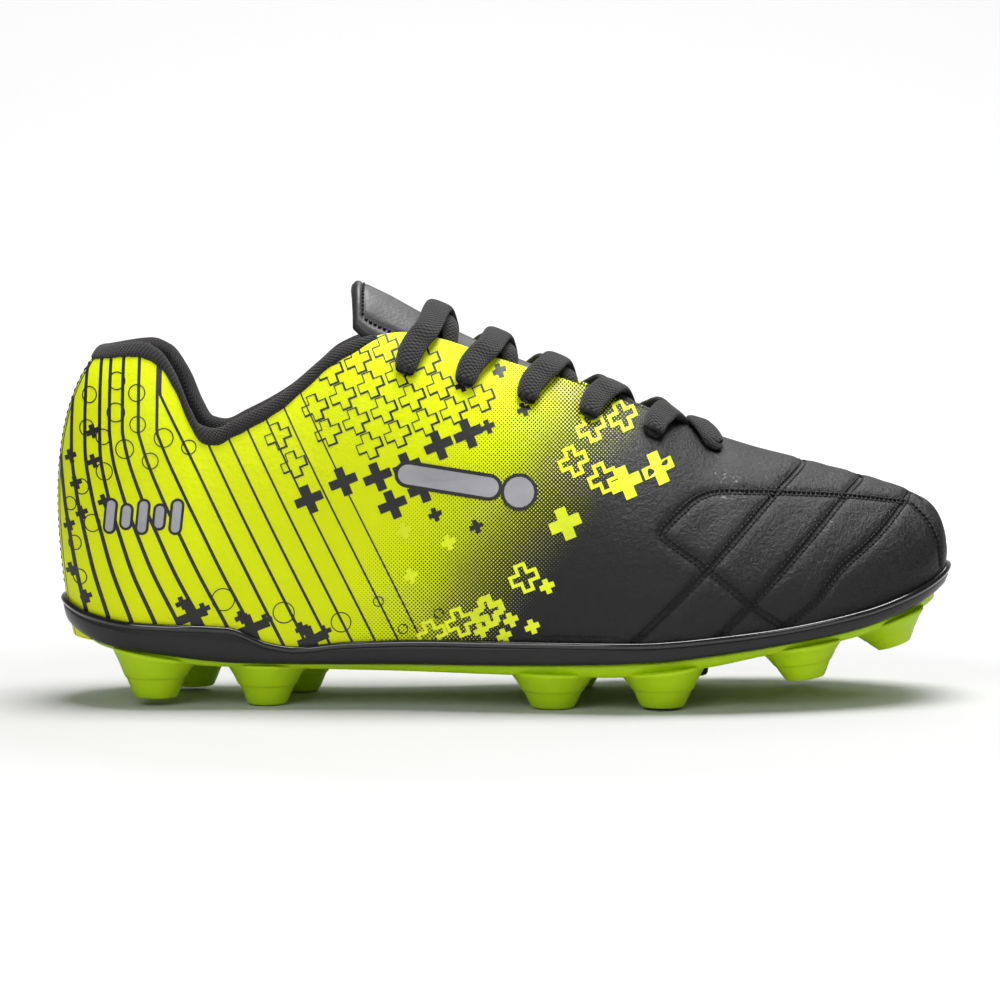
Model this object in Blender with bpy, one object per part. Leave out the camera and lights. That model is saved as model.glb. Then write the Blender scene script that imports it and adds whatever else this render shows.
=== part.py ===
"""A firm-ground soccer cleat for the right foot, in the pieces it is made of.

Shapes are worked out in millimetres from the back of the heel (x), from the heel's centre line
towards the inner side of the foot (y) and up from the ground (z). Objects are made in metres,
with the origin under the middle of the shoe. LATERAL is the outer side, MEDIAL the inner side.
"""

import math

import bmesh
import bpy
import numpy as np

MM = 0.001
LATERAL, MEDIAL = -1, 1

# Overall places, in millimetres
HEEL_X, TOE_X = 4.0, 277.4
MIDDLE_X, MIDDLE_Y = 139.8, 2.9
BEND_X, BEND_Z = 212.0, 22.0
FLAP_X, FLAP_Z = 108.5, 123.6
REST_PIVOT = (MIDDLE_X, MIDDLE_Y, 0.0)
BEND_PIVOT = (BEND_X, MIDDLE_Y, BEND_Z)
FLAP_PIVOT = (FLAP_X, MIDDLE_Y, FLAP_Z)
BEND_LEAN = math.tan(math.radians(27))
END_FULLNESS = 0.8
BACK_SEAM = 2e-5
THROAT_END_X, THROAT_ROUND = 206.0, 18.0
COLLAR_LEAN, COLLAR_LEAN_END = 14.5 - HEEL_X, 60.0
COLLAR_FRONT_X = 93.0
GAP = 0.3
FACET_GAP = 0.8
BEND_GAP = 0.6

# Thicknesses
SKIN = 1.4
STIFFENER = 0.9
LINING = 0.8
PADDING = 2.6
PLATE_INSET = 4.0
BOARD, BOARD_INSET, BOARD_BEND_GAP = 1.6, 5.4, 0.8
SOCKLINER, SOCKLINER_INSET, SOCKLINER_BEND_GAP = 3.4, 5.0, 3.2
FILLER, FILLER_INSET = 1.1, 8.0
SHANK_HALF_WIDTH = 9.0
LIP = 1.5
BINDING = 0.9

# Studs: (x, y, tip height, tip radius)
HEEL_STUDS = ((31, -18, 2.2, 6.6), (65.5, -17, 0, 6.0), (40, 18, 1.4, 6.4), (74, 16, 0, 6.0))
BALL_STUDS = ((154, -26, 0, 6.6), (187.6, -29, 0.6, 6.6), (161, 26, 0, 6.6), (194, 34, 0.8, 6.6))
TOE_STUDS = ((230.6, -21.5, 8.4, 6.0), (258.4, -7.5, 16.8, 5.4), (235, 34, 9.0, 6.0), (258, 25, 16.4, 5.4))
CENTRE_STUD = (199, 2, 6.6, 4.2)
STUD_EDGE = 0.7
STUD_STEP_SHARE, STUD_STEP_OUT, STUD_STEP_TALL = 0.5, 1.9, 0.3
STUD_ROOT_OUT, STUD_ROOT_IN_PLATE = 6.4, 0.5
INSERT_GAP, INSERT_EDGE, INSERT_NECK, INSERT_FOOT, INSERT_FOOT_TALL = 1.2, 0.5, 1.6, 3.0, 0.6

# The lace and its holes
EYELETS = 6
FIRST_EYELET_X, EYELET_STEP = 110.0, 18.6
EYELET_ROW = 0.86
EYELET_RADIUS, EYELET_SIDES = 2.4, 10
CUTTER_OUT, CUTTER_IN = 3.0, 6.0
LACE_WIDE, LACE_THICK = 7.4, 2.2
LACE_ASLANT_WIDE, LACE_ASLANT_THICK = 5.2, 1.7
LACE_UNDER_WIDE, LACE_UNDER_THICK = 4.0, 1.1
LACE_IN_HOLE = 2.6
UNDER_DEPTH = 4.3
LACE_LIFT = 2.9


def smooth_curve(*points):
    """A smooth function through (place, value) points that never overshoots them."""
    places, values = np.array(points, float).T
    steps = np.diff(places)
    rises = np.diff(values) / steps
    slopes = np.concatenate([rises[:1], np.zeros(len(rises) - 1), rises[-1:]])
    for i in range(1, len(rises)):
        if rises[i - 1] * rises[i] > 0:
            slopes[i] = 2 * rises[i - 1] * rises[i] / (rises[i - 1] + rises[i])

    def value_at(place):
        place = np.clip(place, places[0], places[-1])
        i = np.clip(np.searchsorted(places, place) - 1, 0, len(steps) - 1)
        s = (place - places[i]) / steps[i]
        start = values[i] * (1 + 2 * s) * (1 - s) ** 2 + steps[i] * slopes[i] * s * (1 - s) ** 2
        end = values[i + 1] * s * s * (3 - 2 * s) + steps[i] * slopes[i + 1] * s * s * (s - 1)
        return start + end

    return value_at


# Heights along the shoe
floor_z = smooth_curve((0, 20.5), (50, 17.4), (75, 16.3), (121, 17.4), (177, 17.9), (211, 20.6),
                       (248, 26.2), (267, 32.0), (280, 38.6))
feather_z = smooth_curve((0, 34.5), (12, 28.6), (26, 26.1), (54, 24.8), (67, 19.9), (75, 18.7),
                         (90, 20.1), (121, 21.1), (177, 21.1), (211, 23.6), (248, 29.4), (267, 35.5),
                         (280, 43.0))
wall_low_z = smooth_curve((0, 26), (14, 19.5), (37, 16.3), (59, 14.1), (82, 13.8), (141, 14.2),
                          (184, 15.4), (202, 17.3), (225, 20.4), (248, 24.2), (265, 29.5), (280, 37))
plate_low_z = smooth_curve((0, 25.0), (8, 21.1), (14, 18.3), (24, 16.4), (37, 14.2), (48, 12.8), (80, 11.9),
                           (138, 10.9), (170, 10.4), (200, 13.2), (218, 16.5), (246, 21), (268, 28),
                           (280, 33.5))
top_z = smooth_curve((14.5, 110), (27, 111.4), (33, 109), (38, 102), (42, 92.5), (46, 86), (50, 85),
                     (56, 87.6), (70, 95.3), (80, 103.6), (87, 109.5), (99, 114.2), (107.5, 115.4),
                     (117.5, 113.8), (138, 106.9), (158.9, 100.2), (175.5, 94), (201, 84), (209.3, 81.2),
                     (225.7, 76.1), (248.3, 70.1), (263, 65.6), (271, 61.8), (275, 58), (277.4, 51))
tongue_z = smooth_curve((91, 132.4), (104, 125.4), (119, 117.2), (136, 109.2), (157, 100.2), (172, 93),
                        (189, 83.8), (207, 75))
tongue_half = smooth_curve((91, 15.5), (98, 17.5), (110, 18), (119, 20), (136, 22), (157, 19), (189, 15),
                           (207, 12))
tongue_arch = smooth_curve((91, 0.055), (104, 0.047), (119, 0.039), (136, 0.034), (172, 0.03), (207, 0.02))

# Half widths along the shoe, before the rounding of its two ends
lateral_width = smooth_curve((0, 50), (20, 50), (35, 45), (60, 37), (100, 33), (140, 39), (180, 46.5),
                             (210, 49), (240, 50), (260, 50), (280, 48))
medial_width = smooth_curve((0, 50), (20, 49), (35, 43.5), (60, 35), (100, 27.5), (140, 31.5),
                            (180, 42.5), (210, 49.5), (240, 54), (260, 54), (280, 52))
opening_width = smooth_curve((14, 29), (26, 33), (38, 34.5), (50, 34.5), (70, 31), (88, 26.5), (100, 23.5),
                             (110, 21), (119, 19), (157, 14.5), (189, 11), (210, 9))
centre_y = smooth_curve((0, 0), (120, 1), (200, 3.5), (280, 9))

# How the wall leaves the sole and how it reaches the top edge, in degrees
rise_angle = smooth_curve((0, 11.5), (60, 7), (110, 5), (180, 13), (280, 14))
top_angle = smooth_curve((14, 46), (34, 58), (50, 70), (80, 58), (100, 44), (130, 36), (170, 27),
                         (200, 11), (209, 0))
top_reach = smooth_curve((14, 0.28), (50, 0.3), (110, 0.36), (280, 0.36))


def share_at(x):
    """Where x lies along the outline, 0 at the heel and 1 at the toe, close-set at both ends."""
    return np.arccos(np.clip(1 - 2 * (x - HEEL_X) / (TOE_X - HEEL_X), -1, 1)) / np.pi


# Every piece of the upper and the sole shares these steps, so that neighbours follow one another
EYESTAY_START_X = COLLAR_FRONT_X + 1.5
STATIONS = np.sort(np.append(np.linspace(0, 1, 33), share_at(np.array([COLLAR_FRONT_X, EYESTAY_START_X]))))
ROWS = np.linspace(0, 1, 8)


def outline_x(u):
    return HEEL_X + (TOE_X - HEEL_X) * (1 - np.cos(np.pi * u)) / 2


def outline(u, side):
    """The upper's outline where it stands on the sole, as (x, y)."""
    x = outline_x(u)
    half = np.where(side > 0, medial_width(x), lateral_width(x))
    return x, centre_y(x) + side * half * np.clip(np.sin(np.pi * u), 0, 1) ** END_FULLNESS


def outline_normal(u, side):
    """The outline's outward direction in plan."""
    step = 1e-3
    before = outline(np.clip(u - step, 0, 1), side)
    after = outline(np.clip(u + step, 0, 1), side)
    along_x, along_y = after[0] - before[0], after[1] - before[1]
    at_end = (u < step) | (u > 1 - step)
    normal_x = np.where(at_end, np.where(u < 0.5, -1.0, 1.0), -side * along_y)
    normal_y = np.where(at_end, 0.0, side * along_x)
    length = np.hypot(normal_x, normal_y)
    return normal_x / length, normal_y / length


def top_edge(u, side):
    """The edge of the ankle opening and the throat and, in front of it, the centre line of the vamp."""
    base_x = outline_x(u)
    x = base_x + COLLAR_LEAN * np.clip(1 - base_x / COLLAR_LEAN_END, 0, 1) ** 2
    rounding = np.clip((x - THROAT_END_X + THROAT_ROUND) / THROAT_ROUND, 0, 1)
    half = opening_width(x) * np.clip(np.sin(np.pi * u), 0, 1) ** END_FULLNESS * np.sqrt(1 - rounding**2)
    half = np.where((x > THROAT_END_X - THROAT_ROUND) & (x < BEND_X), np.maximum(half, GAP / 2), half)
    half = np.where(x > BEND_X, 0, half)
    return x, centre_y(x) + side * half, top_z(x)


def surface(u, v, side):
    """The upper's outer surface: u from heel to toe, v from the sole up to the top edge."""
    u, v, side = np.broadcast_arrays(np.asarray(u, float), np.asarray(v, float), np.asarray(side, float))
    foot_x, foot_y = outline(u, side)
    normal_x, normal_y = outline_normal(u, side)
    foot = np.stack([foot_x, foot_y, floor_z(foot_x) + 0.4], -1)
    top = np.stack(top_edge(u, side), -1)
    reach = np.linalg.norm(top - foot, axis=-1)
    rise = np.radians(rise_angle(foot_x))
    lower = 0.36 * reach[..., None] * np.stack(
        [normal_x * np.sin(rise), normal_y * np.sin(rise), np.cos(rise)], -1)
    slope = (top_z(top[..., 0] + 0.2) - top_z(top[..., 0] - 0.2)) / 0.4
    slope = slope * np.clip((top[..., 0] - 150) / 50, 0, 1)
    fall = np.radians(top_angle(top[..., 0]))
    ridge = normal_x * np.cos(fall) / np.hypot(1, slope)
    upper = (top_reach(top[..., 0]) * reach)[..., None] * np.stack(
        [ridge, normal_y * np.cos(fall), ridge * slope - np.sin(fall)], -1)
    v = v[..., None]
    return (foot * (1 - v) ** 3 + 3 * (foot + lower) * v * (1 - v) ** 2
            + 3 * (top + upper) * v**2 * (1 - v) + top * v**3)


def raw_normal(u, v, side):
    step = 1e-3
    near_u = np.clip(u, 2 * step, 1 - 2 * step)
    near_v = np.clip(v, step, 1 - step)
    along = surface(near_u + step, near_v, side) - surface(near_u - step, near_v, side)
    across = surface(near_u, near_v + step, side) - surface(near_u, near_v - step, side)
    return np.cross(across, along) * side[..., None]


def surface_normal(u, v, side):
    """The outer surface's outward direction, the same for both sides where they meet."""
    u, v, side = np.broadcast_arrays(np.asarray(u, float), np.asarray(v, float), np.asarray(side, float))
    normal = raw_normal(u, v, side)
    shared = normal + raw_normal(u, v, -side)
    shared[..., 1] = 0
    on_centre = (u < 1e-3) | (u > 0.999) | ((v > 0.999) & (top_edge(u, side)[0] > THROAT_END_X))
    normal = np.where(on_centre[..., None], shared, normal)
    return normal / np.linalg.norm(normal, axis=-1, keepdims=True)


def layer(u, v, side, depth):
    """The surface a depth inside the outer surface."""
    return surface(u, v, side) - surface_normal(u, v, side) * np.asarray(depth)[..., None]


def wall_place(u, side, z):
    """The point of the upper's wall at height z, on the straight run between two rows."""
    rows = surface(u, ROWS, side)
    return np.array([np.interp(z, rows[:, 2], rows[:, axis]) for axis in range(3)])


def side_grid(side, first_x, last_x, low, high):
    """(u, v, side) over one side of the shoe."""
    u = np.clip(STATIONS, share_at(first_x), share_at(last_x))[:, None]
    v = np.clip(ROWS, low, high)[None, :]
    return u + 0 * v, v + 0 * u, side + 0 * u + 0 * v


def wrap_grid(front_x, low, high):
    """(u, v, side) round the heel, from front_x on the lateral side to front_x on the medial side."""
    front = share_at(front_x)
    around = np.clip(np.concatenate([-STATIONS[:0:-1], STATIONS]), -front, front)[:, None]
    v = np.clip(ROWS, low, high)[None, :]
    return np.abs(around) + 0 * v, v + 0 * around, np.where(around > 0, MEDIAL, LATERAL) + 0 * v


def bend_share(v, side, ahead):
    """The u where the front piece starts at v: a plane that leans forward from the bend."""
    u = share_at(BEND_X + ahead)
    for _ in range(8):
        height = surface(u, v, side)[..., 2]
        u = share_at(BEND_X + ahead + np.maximum(height - BEND_Z, 0) * BEND_LEAN)
    return u


def over_grid(start, end):
    """(u, v, side) over the forefoot, from the lateral sole over the centre line to the medial sole."""
    across = np.concatenate([-1 + ROWS, 1 - ROWS[-2::-1]])[None, :]
    side = np.where(across > 0, MEDIAL, LATERAL) + 0 * across
    v = 1 - np.abs(across)
    u = np.clip(STATIONS[:, None], start(v, side), end(v, side))
    return u, v + 0 * u, side + 0 * u


def principled(name, colour, roughness):
    material = bpy.data.materials.new(name)
    material.use_nodes = True
    shader = material.node_tree.nodes["Principled BSDF"]
    shader.inputs["Base Color"].default_value = (*colour, 1)
    shader.inputs["Roughness"].default_value = roughness
    shader.inputs["Metallic"].default_value = 0
    return material


def add_object(name, points, faces, look, pivot=REST_PIVOT, smooth=True):
    """Makes a closed mesh object from points in millimetres, with its origin on the pivot."""
    pivot = np.array(pivot, float)
    places, index, welded = [], {}, []
    for point in np.asarray(points, float):
        key = tuple(np.round(point, 4))
        if key not in index:
            index[key] = len(places)
            places.append((point - pivot) * MM)
        welded.append(index[key])
    kept = []
    for face in faces:
        corners = [welded[i] for i in face]
        corners = [c for i, c in enumerate(corners) if c != corners[i - 1]]
        if len(set(corners)) > 2 and len(set(corners)) == len(corners):
            kept.append(corners)
    mesh = bpy.data.meshes.new(name)
    mesh.from_pydata([tuple(p) for p in places], [], kept)
    shape = bmesh.new()
    shape.from_mesh(mesh)
    bmesh.ops.recalc_face_normals(shape, faces=shape.faces)
    shape.to_mesh(mesh)
    shape.free()
    mesh.polygons.foreach_set("use_smooth", [smooth] * len(mesh.polygons))
    mesh.materials.append(principled(name, *look))
    made = bpy.data.objects.new(name, mesh)
    made.location = (pivot - REST_PIVOT) * MM
    bpy.context.scene.collection.objects.link(made)
    return made


def add_shell(name, outer, inner, look, ends=(True, True), **more):
    """A solid between two grids of points with the same rows and columns."""
    rows, columns = outer.shape[:2]
    second = rows * columns
    faces = []
    for i in range(rows - 1):
        for j in range(columns - 1):
            a = i * columns + j
            b, c, d = a + 1, a + columns + 1, a + columns
            for one, two, three in ((a, b, c), (a, c, d)):
                faces.append((one, two, three))
                faces.append((second + three, second + two, second + one))
        for a in (i * columns, i * columns + columns - 1):
            faces.append((a, a + columns, second + a + columns, second + a))
    for wanted, row in zip(ends, (0, rows - 1)):
        for j in range(columns - 1):
            a = row * columns + j
            if wanted:
                faces.append((a, a + 1, second + a + 1, second + a))
    points = np.concatenate([outer.reshape(-1, 3), inner.reshape(-1, 3)])
    return add_object(name, points, faces, look, **more)


def add_layer(name, grid, depth, thickness, look, **more):
    """A layer of the upper, from a depth inside the outer surface, of a given thickness."""
    outer = layer(*grid, depth)
    inner = layer(*grid, depth + thickness)
    return add_shell(name, outer, inner, look, **more)


def add_slab(name, first_x, last_x, inset, low, high, look, half_width=None, **more):
    """A flat piece of the sole between two heights, inside the outline or of a fixed half width."""
    u = np.unique(np.clip(STATIONS, share_at(first_x), share_at(last_x)))
    rows = []
    for side in (LATERAL, MEDIAL):
        x, y = outline(u, side)
        normal_x, normal_y = outline_normal(u, side)
        if half_width:
            y = centre_y(x) + side * half_width
        else:
            x, y = x - inset * normal_x, y - inset * normal_y
        rows.append((x, y))
    bottom = np.stack([np.stack([x, y, low(x)], -1) for x, y in rows], 1)
    top = np.stack([np.stack([x, y, high(x)], -1) for x, y in rows], 1)
    ends = (first_x > HEEL_X, last_x < TOE_X)
    return add_shell(name, top, bottom, look, ends=ends, **more)


def add_lathe(name, place, profile, look, segments=16, tilt=0.0, seat_rings=0, **more):
    """A closed turned body; profile is (radius, height) from the tip up, and place its root, tilted.

    The last seat_rings rings follow the slope of the plate's underside.
    """
    points = [(0, 0, profile[0][1])]
    for radius, height in profile:
        for k in range(segments):
            angle = 2 * math.pi * k / segments
            points.append((radius * math.cos(angle), radius * math.sin(angle), height))
    points.append((0, 0, profile[-1][1]))
    points = np.array(points)
    across, up = points[:, 0].copy(), points[:, 2].copy()
    points[:, 0] = across * math.cos(tilt) - up * math.sin(tilt)
    points[:, 2] = across * math.sin(tilt) + up * math.cos(tilt)
    points += place
    if seat_rings:
        seated = slice(-1 - seat_rings * segments, None)
        points[seated, 2] = plate_low_z(points[seated, 0]) + up[seated]
    faces = []
    for k in range(segments):
        after = (k + 1) % segments
        faces.append((0, 1 + after, 1 + k))
        last = 1 + (len(profile) - 1) * segments
        faces.append((len(points) - 1, last + k, last + after))
        for ring in range(len(profile) - 1):
            a = 1 + ring * segments
            faces.append((a + k, a + after, a + segments + after, a + segments + k))
    return add_object(name, points, faces, look, smooth=False, **more)


def as_helper(helper):
    helper.hide_render = True
    helper.display_type = "WIRE"
    return helper


def boolean(target, helper, operation):
    modifier = target.modifiers.new(helper.name, "BOOLEAN")
    modifier.operation = operation
    modifier.object = as_helper(helper)


LIME = ((0.62, 0.80, 0.01), 0.45)
PLATE_LIME = ((0.42, 0.62, 0.0), 0.5)
BLACK_LEATHER = ((0.022, 0.02, 0.021), 0.42)
BLACK_RUBBER = ((0.026, 0.024, 0.026), 0.35)
BLACK_KNIT = ((0.028, 0.024, 0.024), 0.9)
BLACK_MESH = ((0.02, 0.02, 0.02), 0.95)
TONGUE_GREY = ((0.05, 0.05, 0.055), 0.45)
FOAM = ((0.5, 0.5, 0.48), 0.9)
BOARD_TAN = ((0.45, 0.36, 0.24), 0.85)
STIFF_WHITE = ((0.7, 0.68, 0.62), 0.7)
STEEL = ((0.4, 0.4, 0.42), 0.35)

def stud_profile(tip_radius, tall):
    """A moulded stud below its root: a slightly tapered tip, a step, and a flared root under the plate."""
    step = -STUD_STEP_SHARE * tall
    step_radius, root_radius = tip_radius + STUD_STEP_OUT, tip_radius + STUD_ROOT_OUT
    return ((tip_radius - STUD_EDGE, -tall), (tip_radius, STUD_EDGE - tall), (step_radius, step),
            (step_radius + STUD_STEP_TALL, step + STUD_STEP_TALL), (root_radius, -STUD_STEP_TALL),
            (root_radius, STUD_ROOT_IN_PLATE))


def add_studs(plate, studs, tilted, pivot):
    for number, (x, y, tip_z, tip_radius) in enumerate(studs):
        root = float(plate_low_z(x))
        slope = float(plate_low_z(x + 5) - plate_low_z(x - 5)) / 10
        profile = stud_profile(tip_radius, root - tip_z)
        stud = add_lathe(f"{plate.name}_stud_{number}", (x, y, root), profile, PLATE_LIME,
                         tilt=math.atan(slope) * tilted, seat_rings=2, pivot=pivot)
        boolean(plate, stud, "UNION")


def plate_top(x):
    return wall_low_z(x) - GAP


def make_outsole():
    """The lime plate and its studs, in two lengths that part at the bend."""
    heights = (plate_low_z, plate_top)
    heel = add_slab("outsole_heel", HEEL_X, BEND_X - BEND_GAP, PLATE_INSET, *heights, PLATE_LIME,
                    smooth=False)
    add_studs(heel, HEEL_STUDS + BALL_STUDS, False, REST_PIVOT)
    toe = add_slab("outsole_forefoot", BEND_X + BEND_GAP, TOE_X, PLATE_INSET, *heights, PLATE_LIME,
                   pivot=BEND_PIVOT, smooth=False)
    add_studs(toe, TOE_STUDS, True, BEND_PIVOT)


def make_centre_stud():
    """A black moulded insert under the ball, standing on the plate between the stud rows."""
    x, y, tip_z, radius = CENTRE_STUD
    root = float(plate_low_z(x)) - INSERT_GAP
    tall = root - tip_z
    profile = ((radius - INSERT_EDGE, -tall), (radius, INSERT_EDGE - tall),
               (radius + INSERT_NECK, -INSERT_FOOT_TALL), (radius + INSERT_FOOT, 0))
    add_lathe("forefoot_insert", (x, y, root), profile, BLACK_RUBBER)


def wall_section(u, side):
    """The sidewall's outer and inner points on one side, from the lip down to the floor."""
    x = outline_x(u)
    normal = np.array([float(n) for n in outline_normal(u, side)] + [0.0])
    lip_z, floor = float(feather_z(x)), surface(u, 0, side) + normal * GAP
    lip = wall_place(u, side, lip_z) + normal * GAP
    middle = wall_place(u, side, (floor[2] + lip_z) / 2) + normal * GAP
    floor[2] = floor_z(x)
    low = surface(u, 0, side) - normal * 1.0
    low[2] = wall_low_z(x)
    edge = lip + normal * LIP
    belly = lip + normal * (LIP - 0.3)
    belly[2] = low[2] + 0.35 * (lip[2] - low[2])
    return np.array([edge, belly, low]), np.array([lip, middle, floor])


def make_sidewall(name, first_x, last_x, pivot):
    """The black moulded tray: a floor on the plate and a lip round the foot of the upper."""
    outer, inner = [], []
    for u in np.unique(np.clip(STATIONS, share_at(first_x), share_at(last_x))):
        sections = [wall_section(u, side) for side in (LATERAL, MEDIAL)]
        outer.append(np.concatenate([sections[0][0], sections[1][0][::-1]]))
        inner.append(np.concatenate([sections[0][1], sections[1][1][::-1]]))
    ends = (first_x > HEEL_X, last_x < TOE_X)
    add_shell(name, np.array(outer), np.array(inner), BLACK_RUBBER, ends=ends, pivot=pivot)


def make_footbed():
    """Filler, shank, board and sockliner, from the tray floor up."""
    def above(rise):
        return lambda x: floor_z(x) + rise
    filler = (above(GAP), above(GAP + FILLER))
    board = (above(2 * GAP + FILLER), above(2 * GAP + FILLER + BOARD))
    liner_low = 3 * GAP + FILLER + BOARD
    liner = (above(liner_low), above(liner_low + SOCKLINER))
    add_slab("heel_filler", 18, 72, FILLER_INSET, *filler, FOAM)
    add_slab("shank_plate", 76, 156, 0, *filler, STEEL, half_width=SHANK_HALF_WIDTH)
    add_slab("ball_filler", 160, BEND_X - 2, FILLER_INSET, *filler, FOAM)
    add_slab("toe_filler", BEND_X + 2, 262, FILLER_INSET, *filler, FOAM, pivot=BEND_PIVOT)
    add_slab("insole_board_heel", HEEL_X, BEND_X - BOARD_BEND_GAP, BOARD_INSET, *board, BOARD_TAN)
    add_slab("insole_board_forefoot", BEND_X + BOARD_BEND_GAP, TOE_X, BOARD_INSET, *board, BOARD_TAN,
             pivot=BEND_PIVOT)
    add_slab("sockliner_heel", HEEL_X, BEND_X - 1, SOCKLINER_INSET, *liner, BLACK_MESH)
    add_slab("sockliner_forefoot", BEND_X + SOCKLINER_BEND_GAP, TOE_X, SOCKLINER_INSET, *liner, BLACK_MESH,
             pivot=BEND_PIVOT)


def eyelet_place(number):
    """(u, v) of a hole, counted from the top of the throat."""
    return float(share_at(FIRST_EYELET_X + EYELET_STEP * number)), EYELET_ROW


def punch(piece, side):
    """Cuts the row of lace holes through a piece."""
    for number in range(EYELETS):
        u, v = eyelet_place(number)
        place = surface(u, v, side)
        axis = surface_normal(u, v, side)
        first = np.cross(axis, (0.0, 1.0, 0.0))
        first /= np.linalg.norm(first)
        second = np.cross(axis, first)
        turn = np.arange(EYELET_SIDES)[:, None] * 2 * np.pi / EYELET_SIDES
        ring = place + EYELET_RADIUS * (np.cos(turn) * first + np.sin(turn) * second)
        points = np.concatenate([ring + axis * CUTTER_OUT, ring - axis * CUTTER_IN])
        faces = [tuple(range(EYELET_SIDES)), tuple(range(2 * EYELET_SIDES - 1, EYELET_SIDES - 1, -1))]
        for k in range(EYELET_SIDES):
            after = (k + 1) % EYELET_SIDES
            faces.append((k, after, EYELET_SIDES + after, EYELET_SIDES + k))
        cutter = add_object(f"{piece.name}_hole_{number}", points, faces, FOAM)
        boolean(piece, cutter, "DIFFERENCE")


def padding(v):
    """The foam's thickness: thin at its lower end and at the top edge, full between them."""
    return np.interp(v, (ROWS[3], ROWS[4], ROWS[6], 1), (0.8, PADDING, PADDING, 1.0))


def lining_depth_at(v):
    """How deep the ankle lining lies: close to the counter below, inside the foam above."""
    flat = SKIN + STIFFENER + 2 * GAP
    return np.where(v < ROWS[3] - 0.01, flat, SKIN + 2 * FACET_GAP + padding(v))


def make_upper():
    """Skins, stiffeners and linings of both sides, and the bending stretch of the vamp."""
    lining_depth = SKIN + STIFFENER + 2 * GAP
    for side, word in ((LATERAL, "lateral"), (MEDIAL, "medial")):
        skin = add_layer(f"quarter_{word}", side_grid(side, HEEL_X + BACK_SEAM, BEND_X - 1.0, 0, 1), 0,
                         SKIN, LIME)
        punch(skin, side)
        stay = add_layer(f"eyestay_{word}", side_grid(side, EYESTAY_START_X, 208, ROWS[5], 1), SKIN + GAP,
                         STIFFENER, BLACK_MESH)
        punch(stay, side)
        add_layer(f"quarter_lining_{word}", side_grid(side, EYESTAY_START_X, BEND_X - 1.5, 0, ROWS[5] - 0.02),
                  lining_depth, LINING, BLACK_MESH)
    add_layer("heel_counter", wrap_grid(66, 0, 0.4), SKIN + GAP, STIFFENER, STIFF_WHITE)
    padded = wrap_grid(COLLAR_FRONT_X, ROWS[3], 0.97)
    add_layer("collar_foam", padded, SKIN + FACET_GAP, padding(padded[1]), FOAM)
    whole = wrap_grid(COLLAR_FRONT_X, 0, 1)
    add_layer("heel_lining", whole, lining_depth_at(whole[1]), LINING, BLACK_MESH)


def rim_place(u, side, top_depth, row_depth, rise):
    """A point by the ankle opening's edge: rise is along the wall, above the edge or below it."""
    edge = layer(u, 1.0, side, top_depth)
    below = layer(u, ROWS[6], side, row_depth)
    upward = edge - below
    return edge + rise * upward / np.linalg.norm(upward, axis=-1, keepdims=True)


def make_binding():
    """Knitted tape folded over the edge of the ankle opening."""
    u, _, side = wrap_grid(COLLAR_FRONT_X, 1, 1)
    u, side = u[:, 0], side[:, 0]
    edge_inside = SKIN + 2 * FACET_GAP + 1.0 + LINING
    row_inside = edge_inside + PADDING - 1.0
    drop = -4.0

    def band(out):
        return np.stack([
            rim_place(u, side, -GAP - out, -GAP - out, drop), rim_place(u, side, -GAP - out, -GAP - out, 0),
            rim_place(u, side, 0.5, 0.5, 2 * GAP + out),
            rim_place(u, side, edge_inside - 0.5, row_inside - 0.5, 2 * GAP + out),
            rim_place(u, side, edge_inside + 2 * GAP + out, row_inside + 2 * GAP + out, 0),
            rim_place(u, side, edge_inside + 2 * GAP + out, row_inside + 2 * GAP + out, drop)], 1)

    add_shell("topline_binding", band(BINDING), band(0.0), BLACK_KNIT)


def tongue_surface(x, across):
    """The tongue's outer face; across runs from -1 on the lateral edge to 1 on the medial edge."""
    y = across * tongue_half(x)
    return np.stack(np.broadcast_arrays(x, centre_y(x) + y, tongue_z(x) - tongue_arch(x) * y**2), -1)


def tongue_layer(x, across, depth):
    along = tongue_surface(x + 0.5, across) - tongue_surface(x - 0.5, across)
    sideways = tongue_surface(x, across + 0.02) - tongue_surface(x, across - 0.02)
    normal = np.cross(along, sideways)
    return tongue_surface(x, across) - depth * normal / np.linalg.norm(normal, axis=-1, keepdims=True)


def make_tongue():
    """Face, foam and lining of the tongue, fixed under the lace and free above it."""
    layers = (("face", 0, 1.0, TONGUE_GREY), ("foam", 1.3, 4.0, FOAM), ("lining", 4.3, 5.0, BLACK_MESH))
    lengths = (("tongue", FLAP_X + 1.5, THROAT_END_X + 1, 12, REST_PIVOT),
               ("tongue_flap", 92.5, FLAP_X - 1.5, 4, FLAP_PIVOT))
    across = np.linspace(-1, 1, 9)[None, :]
    for word, first_x, last_x, steps, pivot in lengths:
        x = np.linspace(first_x, last_x, steps)[:, None]
        for part, near, far, look in layers:
            add_shell(f"{word}_{part}", tongue_layer(x, across, near), tongue_layer(x, across, far), look,
                      pivot=pivot)


def lace_stop(place, outward, wide, thick):
    return np.array(place, float), np.array(outward, float), wide, thick


def lace_on_upper(x, v, side, depth, under=False):
    """A place of the lace along the upper: on it, or under it with the lace squeezed flat."""
    u = float(share_at(x))
    size = (LACE_UNDER_WIDE, LACE_UNDER_THICK) if under else (LACE_WIDE, LACE_THICK)
    return lace_stop(layer(u, v, side, depth), surface_normal(u, v, side), *size)


def lace_on_tongue(x, across):
    place = tongue_layer(x, across, -LACE_LIFT)
    outward = place - tongue_surface(x, across)
    return lace_stop(place, outward, LACE_ASLANT_WIDE, LACE_ASLANT_THICK)


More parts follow.
